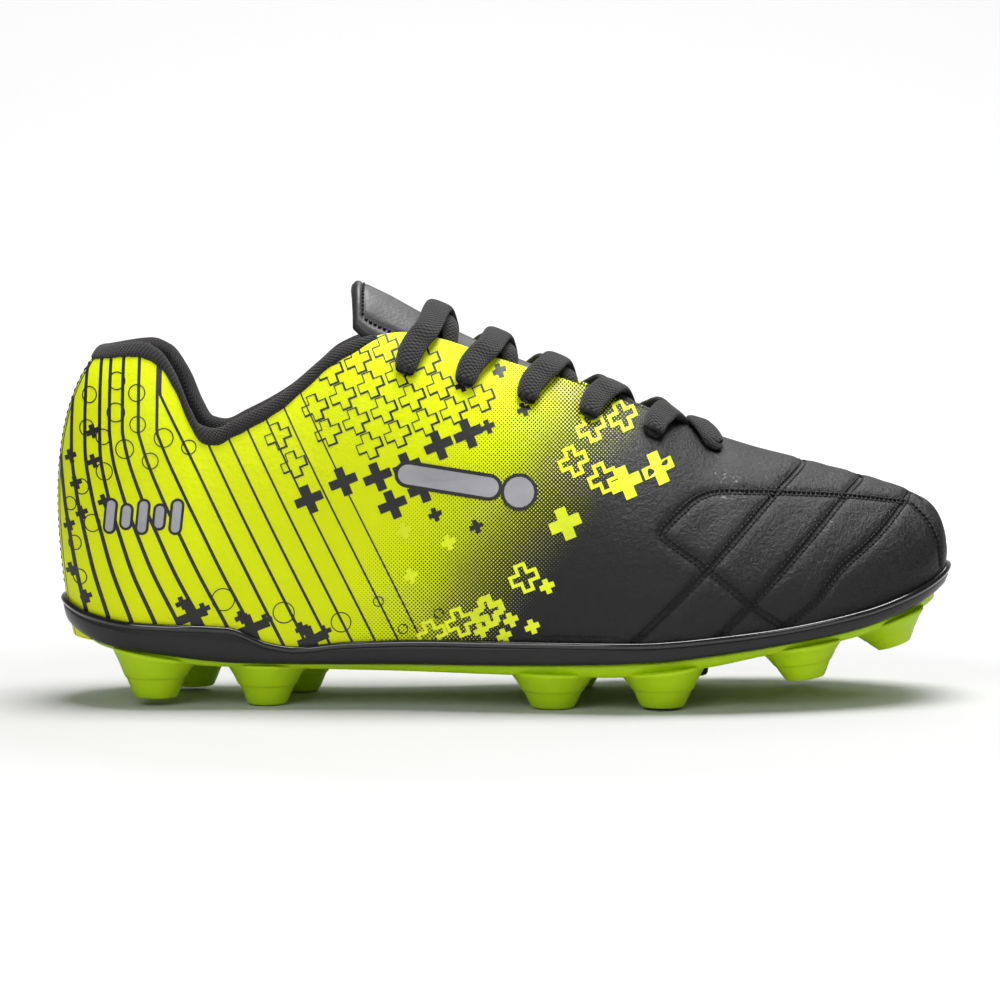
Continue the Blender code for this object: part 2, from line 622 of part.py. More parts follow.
def lace_through_hole(number, side):
    """Up through a hole, where the lace is bunched."""
    u, v = eyelet_place(number)
    normal = surface_normal(u, v, side)
    down = surface(u, v - 0.05, side) - surface(u, v + 0.05, side)
    down /= np.linalg.norm(down)
    return [lace_stop(surface(u, v, side) - depth * normal, down + lean * normal, LACE_IN_HOLE,
                      LACE_IN_HOLE - 0.4)
            for depth, lean in ((UNDER_DEPTH, -0.3), (1.6, 0), (-0.4, 0), (-1.9, 0.4))]


def lace_half(side):
    """From a tucked end by the top hole on one side, zigzag down to the last hole."""
    stops = [lace_on_upper(FIRST_EYELET_X, 0.6, side, UNDER_DEPTH + 1.4, under=True),
             lace_on_upper(FIRST_EYELET_X, 0.76, side, UNDER_DEPTH + 0.6, under=True)]
    for number in range(EYELETS):
        stops += lace_through_hole(number, side)
        if number == EYELETS - 1:
            break
        x = FIRST_EYELET_X + EYELET_STEP * number
        middle = x + EYELET_STEP / 2
        lift = LACE_LIFT + (LACE_THICK + 0.7) * (side == LATERAL)
        centre = (middle, float(centre_y(middle)), float(tongue_z(middle)) + lift)
        stops.append(lace_on_upper(x + 1.5, 0.925, side, -1.7))
        stops.append(lace_on_upper(x + 4, 1.0, side, -2.9))
        stops.append(lace_stop(centre, (0.4, 0, 1), LACE_WIDE, LACE_THICK))
        side = -side
        stops.append(lace_on_tongue(middle + 1.5, 0.34 * side))
        stops.append(lace_on_upper(x + EYELET_STEP - 4.5, 1.0, side, UNDER_DEPTH + 0.6, under=True))
        stops.append(lace_on_upper(x + EYELET_STEP - 1.5, 0.93, side, UNDER_DEPTH, under=True))
    return stops


def lace_bar():
    """Straight across between the last two holes."""
    x = FIRST_EYELET_X + EYELET_STEP * (EYELETS - 1) - 2
    crest = lace_stop((x - 1, float(centre_y(x)), float(top_z(x)) + 2.8), (0.3, 0, 1), LACE_WIDE, LACE_THICK)
    return [lace_on_upper(x, 0.95, MEDIAL, -2.1), crest, lace_on_upper(x, 0.95, LATERAL, -2.1)]


def make_lace():
    """One flat lace through all the holes, swept along its stops."""
    stops = lace_half(LATERAL) + lace_bar() + lace_half(MEDIAL)[::-1]
    places = np.array([stop[0] for stop in stops])
    ahead = np.concatenate([places[1:], places[-1:]])
    behind = np.concatenate([places[:1], places[:-1]])
    outer, inner = [], []
    for i, (place, outward, wide, thick) in enumerate(stops):
        along = (ahead - behind)[i]
        along /= np.linalg.norm(along)
        outward = outward - along * np.dot(outward, along)
        outward /= np.linalg.norm(outward)
        sideways = np.cross(along, outward)
        shares = ((-0.5, 0.15), (-0.3, 0.5), (0.3, 0.5), (0.5, 0.15))
        outer.append([place + a * wide * sideways + b * thick * outward for a, b in shares])
        inner.append([place + a * wide * sideways - b * thick * outward for a, b in shares])
    add_shell("lace", np.array(outer), np.array(inner), BLACK_KNIT)


def make_forefoot_upper():
    def from_bend(v, side):
        return share_at(BEND_X - 0.5) + 0 * v

    def to_front(v, side):
        return bend_share(v, side, 0.6)

    def front(v, side):
        return bend_share(v, side, 1.0)

    def lining_front(v, side):
        return bend_share(v, side, 2.0)

    def puff_front(v, side):
        return np.maximum(share_at(236), bend_share(v, side, 2.0))

    def tip(v, side):
        return 1.0 + 0 * v

    more = {"ends": (True, False), "pivot": BEND_PIVOT}
    add_layer("vamp_flex_panel", over_grid(from_bend, to_front), 0, SKIN, BLACK_LEATHER, pivot=BEND_PIVOT)
    add_layer("toe_vamp", over_grid(front, tip), 0, SKIN, BLACK_LEATHER, **more)
    add_layer("toe_puff", over_grid(puff_front, tip), SKIN + GAP, STIFFENER, STIFF_WHITE, **more)
    add_layer("vamp_lining", over_grid(lining_front, tip), SKIN + STIFFENER + 2 * GAP, LINING, BLACK_MESH,
              **more)


def clear_scene():
    for thing in list(bpy.data.objects):
        bpy.data.objects.remove(thing)


def main():
    clear_scene()
    make_outsole()
    make_centre_stud()
    make_sidewall("sidewall_heel", HEEL_X, BEND_X - BEND_GAP, REST_PIVOT)
    make_sidewall("sidewall_forefoot", BEND_X + BEND_GAP, TOE_X, BEND_PIVOT)
    make_footbed()
    make_upper()
    make_forefoot_upper()
    make_binding()
    make_tongue()
    make_lace()


main()
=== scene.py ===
"""The looks of a soccer cleat for the right foot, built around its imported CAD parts.

Shapes are worked out in millimetres from the back of the heel (x), from the heel's centre line
towards the inner side of the foot (y) and up from the ground (z), and made in metres in the row
frame. LATERAL is the outer side of the foot, MEDIAL the inner side.
"""

import math

import bmesh
import bpy
import numpy as np
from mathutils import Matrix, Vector
from mathutils.kdtree import KDTree


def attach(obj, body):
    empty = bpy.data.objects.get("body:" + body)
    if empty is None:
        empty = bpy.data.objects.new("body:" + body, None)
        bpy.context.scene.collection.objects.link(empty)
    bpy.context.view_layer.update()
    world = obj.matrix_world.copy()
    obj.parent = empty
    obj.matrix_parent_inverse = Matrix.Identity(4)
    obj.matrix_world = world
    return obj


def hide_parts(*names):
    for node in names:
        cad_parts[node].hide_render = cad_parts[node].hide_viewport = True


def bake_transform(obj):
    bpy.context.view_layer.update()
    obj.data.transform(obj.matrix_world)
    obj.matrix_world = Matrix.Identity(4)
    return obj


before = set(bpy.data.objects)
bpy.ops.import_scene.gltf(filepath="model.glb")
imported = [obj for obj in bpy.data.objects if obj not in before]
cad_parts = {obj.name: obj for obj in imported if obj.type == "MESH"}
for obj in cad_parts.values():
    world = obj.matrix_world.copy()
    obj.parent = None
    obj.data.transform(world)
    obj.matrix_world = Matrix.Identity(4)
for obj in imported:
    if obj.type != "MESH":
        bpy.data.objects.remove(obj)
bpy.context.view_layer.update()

MM = 0.001
LATERAL, MEDIAL = -1, 1
SIDES = (LATERAL, MEDIAL)

# Overall places, in millimetres
HEEL_X, TOE_X = 4.0, 277.4
MIDDLE_X, MIDDLE_Y = 139.8, 2.9
BEND_X, BEND_Z = 212.0, 22.0
FLAP_X = 108.5
END_FULLNESS = 0.8
THROAT_END_X, THROAT_ROUND = 206.0, 24.0
COLLAR_LEAN, COLLAR_LEAN_END = 14.5 - HEEL_X, 60.0
COLLAR_FRONT_X = 93.0
SKIN = 1.4
LINING = 0.8

# Studs: (x, y, tip height, tip radius)
HEEL_STUDS = ((31, -18, 2.2, 6.6), (65.5, -17, 0, 6.0), (40, 18, 1.4, 6.4), (74, 16, 0, 6.0))
BALL_STUDS = ((154, -26, 0, 6.6), (187.6, -29, 0.6, 6.6), (161, 26, 0, 6.6), (194, 34, 0.8, 6.6))
TOE_STUDS = ((230.6, -21.5, 8.4, 6.0), (258.4, -7.5, 16.8, 5.4), (235, 34, 9.0, 6.0), (258, 25, 16.4, 5.4))
CENTRE_STUD = (199, 2, 6.6, 4.2)

# The lace and its holes
EYELETS = 6
FIRST_EYELET_X, EYELET_STEP = 110.0, 18.6
EYELET_ROW = 0.86


def smooth_curve(*points):
    """A smooth function through (place, value) points that never overshoots them."""
    places, values = np.array(points, float).T
    steps = np.diff(places)
    rises = np.diff(values) / steps
    slopes = np.concatenate([rises[:1], np.zeros(len(rises) - 1), rises[-1:]])
    for i in range(1, len(rises)):
        if rises[i - 1] * rises[i] > 0:
            slopes[i] = 2 * rises[i - 1] * rises[i] / (rises[i - 1] + rises[i])

    def value_at(place):
        place = np.clip(place, places[0], places[-1])
        i = np.clip(np.searchsorted(places, place) - 1, 0, len(steps) - 1)
        s = (place - places[i]) / steps[i]
        start = values[i] * (1 + 2 * s) * (1 - s) ** 2 + steps[i] * slopes[i] * s * (1 - s) ** 2
        end = values[i + 1] * s * s * (3 - 2 * s) + steps[i] * slopes[i + 1] * s * s * (s - 1)
        return start + end

    return value_at


# Heights along the shoe
floor_z = smooth_curve((0, 20.5), (50, 17.4), (75, 16.3), (121, 17.4), (177, 17.9), (211, 20.6),
                       (248, 26.2), (267, 32.0), (280, 38.6))
feather_z = smooth_curve((0, 34.5), (12, 28.6), (26, 26.1), (54, 24.8), (67, 19.9), (75, 18.7),
                         (90, 20.1), (121, 21.1), (177, 21.1), (211, 23.6), (248, 29.4), (267, 35.5),
                         (280, 43.0))
wall_low_z = smooth_curve((0, 26), (14, 19.5), (37, 16.3), (59, 14.1), (82, 13.8), (141, 14.2),
                          (184, 15.4), (202, 17.3), (225, 20.4), (248, 24.2), (265, 29.5), (280, 37))
plate_low_z = smooth_curve((0, 25.0), (8, 21.1), (14, 18.3), (24, 16.4), (37, 14.2), (48, 12.8), (80, 11.9),
                           (138, 10.9), (170, 10.4), (200, 13.2), (218, 16.5), (246, 21), (268, 28),
                           (280, 33.5))
top_z = smooth_curve((14.5, 110), (27, 111.4), (33, 109), (38, 102), (42, 92.5), (46, 86), (50, 85),
                     (56, 87.6), (70, 95.3), (80, 103.6), (87, 109.5), (99, 114.2), (107.5, 115.4),
                     (117.5, 113.8), (138, 106.9), (158.9, 100.2), (175.5, 94), (201, 84), (209.3, 81.2),
                     (225.7, 76.1), (248.3, 70.1), (263, 65.6), (271, 61.8), (275, 58), (277.4, 51))
tongue_z = smooth_curve((91, 132.4), (104, 125.4), (119, 117.2), (136, 109.2), (157, 100.2), (172, 93),
                        (189, 83.8), (207, 75))
tongue_half = smooth_curve((91, 15.5), (98, 17.5), (110, 18), (119, 20), (136, 22), (157, 19), (189, 15),
                           (207, 12))
tongue_arch = smooth_curve((91, 0.055), (104, 0.047), (119, 0.039), (136, 0.034), (172, 0.03), (207, 0.02))

# Half widths along the shoe, before the rounding of its two ends
lateral_width = smooth_curve((0, 50), (20, 50), (35, 45), (60, 37), (100, 33), (140, 39), (180, 46.5),
                             (210, 49), (240, 50), (260, 50), (280, 48))
medial_width = smooth_curve((0, 50), (20, 49), (35, 43.5), (60, 35), (100, 27.5), (140, 31.5),
                            (180, 42.5), (210, 49.5), (240, 54), (260, 54), (280, 52))
opening_width = smooth_curve((14, 29), (26, 33), (38, 34.5), (50, 34.5), (70, 31), (88, 26.5), (100, 23.5),
                             (110, 21), (119, 19), (157, 14.5), (189, 11), (210, 9))
centre_y = smooth_curve((0, 0), (120, 1), (200, 3.5), (280, 9))

# How the wall leaves the sole and how it reaches the top edge, in degrees
rise_angle = smooth_curve((0, 11.5), (60, 7), (110, 5), (180, 13), (280, 14))
top_angle = smooth_curve((14, 46), (34, 58), (50, 70), (80, 58), (100, 44), (130, 36), (170, 27),
                         (200, 11), (209, 0))
top_reach = smooth_curve((14, 0.28), (50, 0.3), (110, 0.36), (280, 0.36))


def unit(vectors):
    return vectors / np.linalg.norm(vectors, axis=-1, keepdims=True)


def square_to(direction, vectors):
    """The vectors turned square to a direction, at length 1."""
    return unit(vectors - direction * np.sum(vectors * direction, axis=-1, keepdims=True))


def in_row_frame(points):
    """Points in millimetres from the heel as metres in the row frame."""
    return (np.asarray(points, float) - (MIDDLE_X, MIDDLE_Y, 0.0)) * MM


def share_at(x):
    """Where x lies along the outline, 0 at the heel and 1 at the toe, close-set at both ends."""
    return np.arccos(np.clip(1 - 2 * (x - HEEL_X) / (TOE_X - HEEL_X), -1, 1)) / np.pi


def outline_x(u):
    return HEEL_X + (TOE_X - HEEL_X) * (1 - np.cos(np.pi * u)) / 2


def end_rounding(u):
    """How much of the width is left towards the two ends."""
    return np.clip(np.sin(np.pi * u), 0, 1) ** END_FULLNESS


def outline(u, side):
    """The upper's outline where it stands on the sole, as (x, y)."""
    x = outline_x(u)
    half = np.where(side > 0, medial_width(x), lateral_width(x))
    return x, centre_y(x) + side * half * end_rounding(u)


def outline_normal(u, side):
    """The outline's outward direction in plan."""
    step = 1e-3
    before = outline(np.clip(u - step, 0, 1), side)
    after = outline(np.clip(u + step, 0, 1), side)
    along_x, along_y = after[0] - before[0], after[1] - before[1]
    at_end = (u < step) | (u > 1 - step)
    normal_x = np.where(at_end, np.where(u < 0.5, -1.0, 1.0), -side * along_y)
    normal_y = np.where(at_end, 0.0, side * along_x)
    length = np.hypot(normal_x, normal_y)
    return normal_x / length, normal_y / length


def top_edge(u, side):
    """The edge of the ankle opening and the throat and, in front of it, the centre line of the vamp."""
    base_x = outline_x(u)
    x = base_x + COLLAR_LEAN * np.clip(1 - base_x / COLLAR_LEAN_END, 0, 1) ** 2
    rounding = np.clip((x - THROAT_END_X + THROAT_ROUND) / THROAT_ROUND, 0, 1)
    half = opening_width(x) * end_rounding(u) * (0.5 + 0.5 * np.cos(np.pi * rounding))
    half = np.where(x >= THROAT_END_X, 0, half)
    return x, centre_y(x) + side * half, top_z(x)


def surface(u, v, side):
    """The upper's outer surface: u from heel to toe, v from the sole up to the top edge."""
    u, v, side = np.broadcast_arrays(np.asarray(u, float), np.asarray(v, float), np.asarray(side, float))
    foot_x, foot_y = outline(u, side)
    normal_x, normal_y = outline_normal(u, side)
    foot = np.stack([foot_x, foot_y, floor_z(foot_x) + 0.4], -1)
    top = np.stack(top_edge(u, side), -1)
    reach = np.linalg.norm(top - foot, axis=-1)
    rise = np.radians(rise_angle(foot_x))
    lower = 0.36 * reach[..., None] * np.stack(
        [normal_x * np.sin(rise), normal_y * np.sin(rise), np.cos(rise)], -1)
    slope = (top_z(top[..., 0] + 0.2) - top_z(top[..., 0] - 0.2)) / 0.4
    slope = slope * np.clip((top[..., 0] - 150) / 50, 0, 1)
    fall = np.radians(top_angle(top[..., 0]))
    ridge = normal_x * np.cos(fall) / np.hypot(1, slope)
    upper = (top_reach(top[..., 0]) * reach)[..., None] * np.stack(
        [ridge, normal_y * np.cos(fall), ridge * slope - np.sin(fall)], -1)
    v = v[..., None]
    return (foot * (1 - v) ** 3 + 3 * (foot + lower) * v * (1 - v) ** 2
            + 3 * (top + upper) * v**2 * (1 - v) + top * v**3)


def raw_normal(u, v, side):
    step = 1e-3
    near_u = np.clip(u, 2 * step, 1 - 2 * step)
    near_v = np.clip(v, step, 1 - step)
    along = surface(near_u + step, near_v, side) - surface(near_u - step, near_v, side)
    across = surface(near_u, near_v + step, side) - surface(near_u, near_v - step, side)
    return np.cross(across, along) * side[..., None]


def surface_normal(u, v, side):
    """The outer surface's outward direction, the same for both sides where they meet."""
    u, v, side = np.broadcast_arrays(np.asarray(u, float), np.asarray(v, float), np.asarray(side, float))
    normal = raw_normal(u, v, side)
    shared = normal + raw_normal(u, v, -side)
    shared[..., 1] = 0
    on_centre = (u < 1e-3) | (u > 0.999) | ((v > 0.999) & (top_edge(u, side)[0] > THROAT_END_X))
    return unit(np.where(on_centre[..., None], shared, normal))


def layer(u, v, side, depth):
    """The surface a depth inside the outer surface."""
    return surface(u, v, side) - surface_normal(u, v, side) * np.asarray(depth)[..., None]



# ---------------------------------------------------------------- materials


class Look:
    """A node material in the making. Inputs may be numbers, colours or other nodes' outputs."""

    def __init__(self, name):
        self.material = bpy.data.materials.new(name)
        self.material.use_nodes = True
        self.tree = self.material.node_tree
        self.shader = self.tree.nodes["Principled BSDF"]

    def feed(self, target, value):
        if isinstance(value, bpy.types.NodeSocket):
            self.tree.links.new(value, target)
        elif isinstance(value, tuple) and len(value) == 3 and target.type == "RGBA":
            target.default_value = (*value, 1)
        else:
            target.default_value = value

    def node(self, kind, inputs, output=0, **settings):
        made = self.tree.nodes.new("ShaderNode" + kind)
        for name, value in settings.items():
            setattr(made, name, value)
        for name, value in inputs.items():
            self.feed(made.inputs[name], value)
        return made.outputs[output]

    def math(self, operation, first, second=0.0):
        return self.node("Math", {0: first, 1: second}, operation=operation)

    def add(self, first, second):
        return self.math("ADD", first, second)

    def times(self, first, second):
        return self.math("MULTIPLY", first, second)

    def ramp(self, value, low, high, start=0.0, end=1.0):
        inputs = {"Value": value, "From Min": low, "From Max": high, "To Min": start, "To Max": end}
        return self.node("MapRange", inputs)

    def mix(self, share, first, second):
        return self.node("Mix", {"Factor": share, 6: first, 7: second}, output=2, data_type="RGBA")

    def place(self):
        return self.node("TexCoord", {}, output="Object")

    def noise(self, scale, detail=3.0, roughness=0.55):
        inputs = {"Vector": self.place(), "Scale": scale, "Detail": detail, "Roughness": roughness}
        return self.node("TexNoise", inputs)

    def cells(self, scale, feature="F1"):
        return self.node("TexVoronoi", {"Vector": self.place(), "Scale": scale}, feature=feature)

    def flat(self):
        """The two flat coordinates of a mesh, in millimetres."""
        vector = self.node("UVMap", {}, uv_map="flat")
        split = self.tree.nodes.new("ShaderNodeSeparateXYZ")
        self.tree.links.new(vector, split.inputs[0])
        return split.outputs[0], split.outputs[1]

    def share(self, name):
        return self.node("Attribute", {}, output="Fac", attribute_name=name)

    def set(self, **values):
        for name, value in values.items():
            self.feed(self.shader.inputs[name.replace("_", " ")], value)

    def bump(self, height, depth, strength=1.0):
        """Raises the surface by up to depth millimetres."""
        normal = self.node("Bump", {"Height": height, "Distance": depth * MM, "Strength": strength})
        self.feed(self.shader.inputs["Normal"], normal)
        return self


def toned(colour, factor):
    return tuple(factor * c for c in colour)


def grain_height(look, size):
    """Leather grain: small uneven cells with creases between them, size in millimetres."""
    pebbles = look.cells(1 / (size * MM), "SMOOTH_F1")
    creases = look.noise(0.35 / (size * MM), 4.0, 0.65)
    return look.add(look.times(pebbles, 0.6), look.times(creases, 1.2))


def woven(name, colour, pitch, dull=0.9):
    """Knitted or braided yarn, its loops laid out over the flat coordinates, with painted shade between them.
    """
    look = Look(name)
    along, over = look.flat()
    waves = [look.math("SINE", look.times(look.math(way, along, over), math.pi / pitch))
             for way in ("ADD", "SUBTRACT")]
    loops = look.times(*(look.math("ABSOLUTE", wave) for wave in waves))
    height = look.add(loops, look.times(look.noise(2600, 2.0), 0.35))
    # Painted shade: the yarn darkens to 0.3 of its colour where the loops' height is low, between the loops.
    base = look.mix(look.ramp(height, 0.15, 0.75), toned(colour, 0.3), colour)
    base = look.mix(look.ramp(look.noise(60, 3.0), 0.5, 0.8, 0, 0.5), base, toned(colour, 1.5))
    look.set(Base_Color=base, Roughness=dull, Sheen_Weight=0.12, Sheen_Roughness=0.5)
    return look.bump(height, 0.45, 0.9).material


def mesh_cloth(name, colour, size):
    """Spacer mesh: round holes in a soft knit, with painted shade inside the holes."""
    look = Look(name)
    holes = look.ramp(look.cells(1 / (size * MM)), 0.25, 0.5)
    height = look.add(holes, look.times(look.noise(2200), 0.3))
    # Painted shade: the knit darkens to 0.25 of its colour inside the holes.
    look.set(Base_Color=look.mix(holes, toned(colour, 0.25), colour), Roughness=0.95, Sheen_Weight=0.2)
    return look.bump(height, 0.4, 0.8).material


def leather(name, colour, size, roughness, depth=0.12):
    """Coated leather with a grain and a few paler, rubbed patches."""
    look = Look(name)
    height = grain_height(look, size)
    base = look.mix(look.ramp(look.noise(35, 4.0), 0.4, 0.75, 0, 0.6), colour, toned(colour, 1.7))
    rough = look.ramp(look.noise(90), 0.3, 0.7, roughness - 0.06, roughness + 0.08)
    look.set(Base_Color=base, Roughness=rough)
    return look.bump(height, depth, 0.7).material


def moulded(name, colour, roughness, grain=0.05, shade=0.8, coat=0.0):
    """Moulded plastic or rubber with a faint spark-eroded grain and scuffs."""
    look = Look(name)
    patches = look.ramp(look.noise(30, 4.0), 0.35, 0.7)
    scuffs = look.ramp(look.noise(240, 5.0, 0.7), 0.52, 0.72)
    look.set(Base_Color=look.mix(patches, toned(colour, shade), colour), Coat_Weight=coat,
             Roughness=look.add(look.times(scuffs, 0.12), roughness), Coat_Roughness=0.12,
             Specular_IOR_Level=0.35)
    return look.bump(look.noise(1800, 3.0), grain, 0.8).material


LIME_INK = (0.76, 0.87, 0.003)
DULL_LIME = toned(LIME_INK, 0.93)
BLACK_INK = (0.0036, 0.0034, 0.0038)
SOLE_LIME = (0.46, 0.72, 0.0)
DOT_PITCH = 1.22


def printed_skin():
    """The upper's synthetic leather: lime print with black dots that grow into solid black in front."""
    look = Look("printed_skin")
    x, z = look.flat()
    turn = 2 * math.pi / DOT_PITCH
    dots = look.times(*(look.math("SINE", look.times(place, turn)) for place in (x, z)))
    dots = look.ramp(dots, -1.0, 1.0)
    ink = look.share("ink")
    covered = look.ramp(look.math("SUBTRACT", ink, dots), -0.06, 0.06)
    lime = look.mix(look.ramp(look.noise(22, 3.0), 0.35, 0.7), DULL_LIME, LIME_INK)
    black = look.mix(look.ramp(look.noise(30, 4.0), 0.4, 0.75, 0, 0.4), BLACK_INK, (0.007, 0.0066, 0.007))
    height = grain_height(look, 1.3)
    creases = look.ramp(look.noise(900, 5.0, 0.7), 0.4, 0.7)
    height = look.add(height, look.times(look.times(creases, ink), 0.8))
    rough = look.math("SUBTRACT", 0.52, look.times(ink, 0.13))
    rough = look.add(rough, look.times(look.noise(140, 3.0), 0.04))
    look.set(Base_Color=look.mix(covered, lime, black), Roughness=rough,
             Specular_IOR_Level=look.ramp(ink, 0, 1, 0.15, 0.42))
    return look.bump(height, 0.2, 0.9).material


PRINT = printed_skin()
BLACK_PRINT = leather("black_print", (0.010, 0.010, 0.010), 1.3, 0.5, 0.1)
LIME_PRINT = leather("lime_print", DULL_LIME, 1.3, 0.5, 0.1)
SILVER_PRINT = leather("silver_print", (0.32, 0.32, 0.34), 1.3, 0.38, 0.1)
BLACK_THREAD = moulded("black_thread", (0.003, 0.003, 0.003), 0.55, 0.05)
KNIT_TAPE = woven("knit_tape", (0.018, 0.0155, 0.015), 1.3)
LACE_BRAID = woven("lace_braid", (0.0105, 0.009, 0.0087), 1.4, 0.85)
COLLAR_MESH = mesh_cloth("collar_mesh", (0.030, 0.028, 0.028), 1.5)
LINING_CLOTH = mesh_cloth("lining_cloth", (0.035, 0.035, 0.036), 1.0)
TONGUE_LEATHER = leather("tongue_leather", (0.026, 0.025, 0.026), 1.0, 0.45)
SATIN_BLACK = moulded("satin_black", (0.013, 0.0125, 0.0145), 0.33, 0.03)
GLOSS_BLACK = moulded("gloss_black", (0.008, 0.008, 0.009), 0.1, 0.01, coat=0.8)
PLATE = moulded("plate_lime", SOLE_LIME, 0.44, 0.05, 0.9)
FOAM = moulded("foam", (0.5, 0.5, 0.48), 0.95, 0.3)
BOARD = woven("fibre_board", (0.42, 0.33, 0.22), 0.8)
STIFFENER = moulded("stiffener", (0.62, 0.6, 0.55), 0.75, 0.15)
STEEL = moulded("shank_steel", (0.35, 0.35, 0.37), 0.35, 0.03)


# ---------------------------------------------------------------- meshes


def add_mesh(name, points, faces, materials, flat=None, face_looks=None, values=None, smooth=True):
    """A mesh object from points in millimetres, welded where they meet; flat gives its flat coordinates."""
    keys = np.round(np.asarray(points, float), 3)
    _, first, back = np.unique(keys, axis=0, return_index=True, return_inverse=True)
    back = back.reshape(-1)
    places = in_row_frame(np.asarray(points)[first])
    kept, looks, corners = [], [], []
    for number, face in enumerate(faces):
        welded, source = [], []
        for corner in face:
            if back[corner] not in welded:
                welded.append(back[corner])
                source.append(corner)
        if len(welded) > 2:
            kept.append(welded)
            corners += source
            looks.append(0 if face_looks is None else face_looks[number])
    mesh = bpy.data.meshes.new(name)
    mesh.from_pydata(places.tolist(), [], kept)
    for material in materials:
        mesh.materials.append(material)
    mesh.polygons.foreach_set("material_index", looks)
    mesh.polygons.foreach_set("use_smooth", [smooth] * len(kept))
    if flat is not None:
        layout = mesh.uv_layers.new(name="flat")
        layout.data.foreach_set("uv", np.asarray(flat, float)[corners].ravel())
    for key, value in (values or {}).items():
        attribute = mesh.attributes.new(key, "FLOAT", "POINT")
        attribute.data.foreach_set("value", np.asarray(value, float)[first])
    shape = bmesh.new()
    shape.from_mesh(mesh)
    bmesh.ops.recalc_face_normals(shape, faces=shape.faces)
    shape.to_mesh(mesh)
    shape.free()
    made = bpy.data.objects.new(name, mesh)
    bpy.context.scene.collection.objects.link(made)
    return made


def grid_faces(rows, columns, start=0, flip=False):
    first = (np.arange(rows - 1)[:, None] * columns + np.arange(columns - 1)[None, :]).ravel() + start
    faces = np.stack([first, first + 1, first + columns + 1, first + columns], 1)
    return faces[:, ::-1] if flip else faces


def strip_faces(near, far):
    """Quads between two rows of point numbers."""
    return np.stack([near[:-1], near[1:], far[1:], far[:-1]], 1)


def shell(outer, inner, sides=(True, True, True, True)):
    """Points and faces of a solid between two grids; sides says which borders to close: first and last
    row, first and last column."""
    rows, columns = outer.shape[:2]
    count = rows * columns
    index = np.arange(count).reshape(rows, columns)
    faces = [grid_faces(rows, columns), grid_faces(rows, columns, count, True)]
    borders = (index[0], index[-1], index[:, 0], index[:, -1])
    for wanted, border in zip(sides, borders):
        if wanted:
            faces.append(strip_faces(border, border + count))
    points = np.concatenate([outer.reshape(-1, 3), inner.reshape(-1, 3)])
    return points, np.concatenate(faces)


def lengths(points):
    """Running length along the first axis of a grid of points."""
    steps = np.linalg.norm(np.diff(points, axis=0), axis=-1)
    return np.concatenate([np.zeros_like(steps[:1]), np.cumsum(steps, axis=0)])


def shell_flat(outer):
    """Flat coordinates of both faces of a shell: lengths along its rows and its columns."""
    along = lengths(outer)
    across = np.swapaxes(lengths(np.swapaxes(outer, 0, 1)), 0, 1)
    one = np.stack([along, across], -1).reshape(-1, 2)
    return np.concatenate([one, one])


def add_shell(name, outer, inner, material):
    points, faces = shell(outer, inner)
    return add_mesh(name, points, faces, [material], shell_flat(outer))


def join_parts(name, parts, material, smooth=True):
    """One object from several (points, faces, flat coordinates) parts."""
    faces, start = [], 0
    for part_points, part_faces, _ in parts:
        faces += [tuple(int(c) + start for c in face) for face in part_faces]
        start += len(part_points)
    points, flats = (np.concatenate([part[k] for part in parts]) for k in (0, 2))
    return add_mesh(name, points, faces, [material], flats, smooth=smooth)


def bends(piece, *nodes):
    """Bakes the piece's placement into its mesh; it stands for these CAD nodes, which are hidden."""
    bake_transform(piece)
    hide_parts(*nodes)


def rides(piece, body, *nodes):
    """The piece rides whole on one body and stands for these CAD nodes."""
    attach(piece, body)
    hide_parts(*nodes)


# ---------------------------------------------------------------- the upper's skin

SKIN_STATIONS, SKIN_ROWS = 300, 70
PRINT_LIFT, PRINT_ROOT = 0.12, -0.3

# Sewn lines of the toe, as (x, z) seen from the side; they run alike on both sides
SEWN_LINES = (
    ((266, 61.5), (244.5, 64.5), (222.5, 66), (200, 67), (187, 56), (187, 53.5), (201, 44), (214, 33),
     (224, 26)),
    ((266, 61.5), (271.5, 56), (274.5, 49), (275, 43)),
    ((233, 74), (222.5, 66), (201, 44), (177, 20.5)),
    ((251, 69), (244.5, 64.5), (214, 33), (204.5, 23.5)),
    ((266.5, 64.5), (254.5, 52.5), (241.5, 43), (234, 33), (224.5, 26)),
)
SEWN_APART, SEWN_PATH_STEP = 0.85, 0.7
PUFFED_FROM_X, PUFFED_OVER = 165.0, 15.0
STITCH_STEP, STITCH_HALF, STITCH_RADIUS = 1.6, 0.6, 0.38


def resample(points, step):
    """Points at even steps along a line of points."""
    points = np.array(points, float)
    along = lengths(points)
    at = np.linspace(0, along[-1], max(2, int(round(along[-1] / step)) + 1))
    return np.stack([np.interp(at, along, points[:, k]) for k in range(points.shape[1])], 1)


def cut_corners(points):
    """The line with its corners cut off twice."""
    points = np.array(points, float)
    for _ in range(2):
        near = 0.8 * points[:-1] + 0.2 * points[1:]
        far = 0.2 * points[:-1] + 0.8 * points[1:]
        middle = np.stack([near, far], 1).reshape(-1, points.shape[1])
        points = np.concatenate([points[:1], middle[1:-1], points[-1:]])
    return points


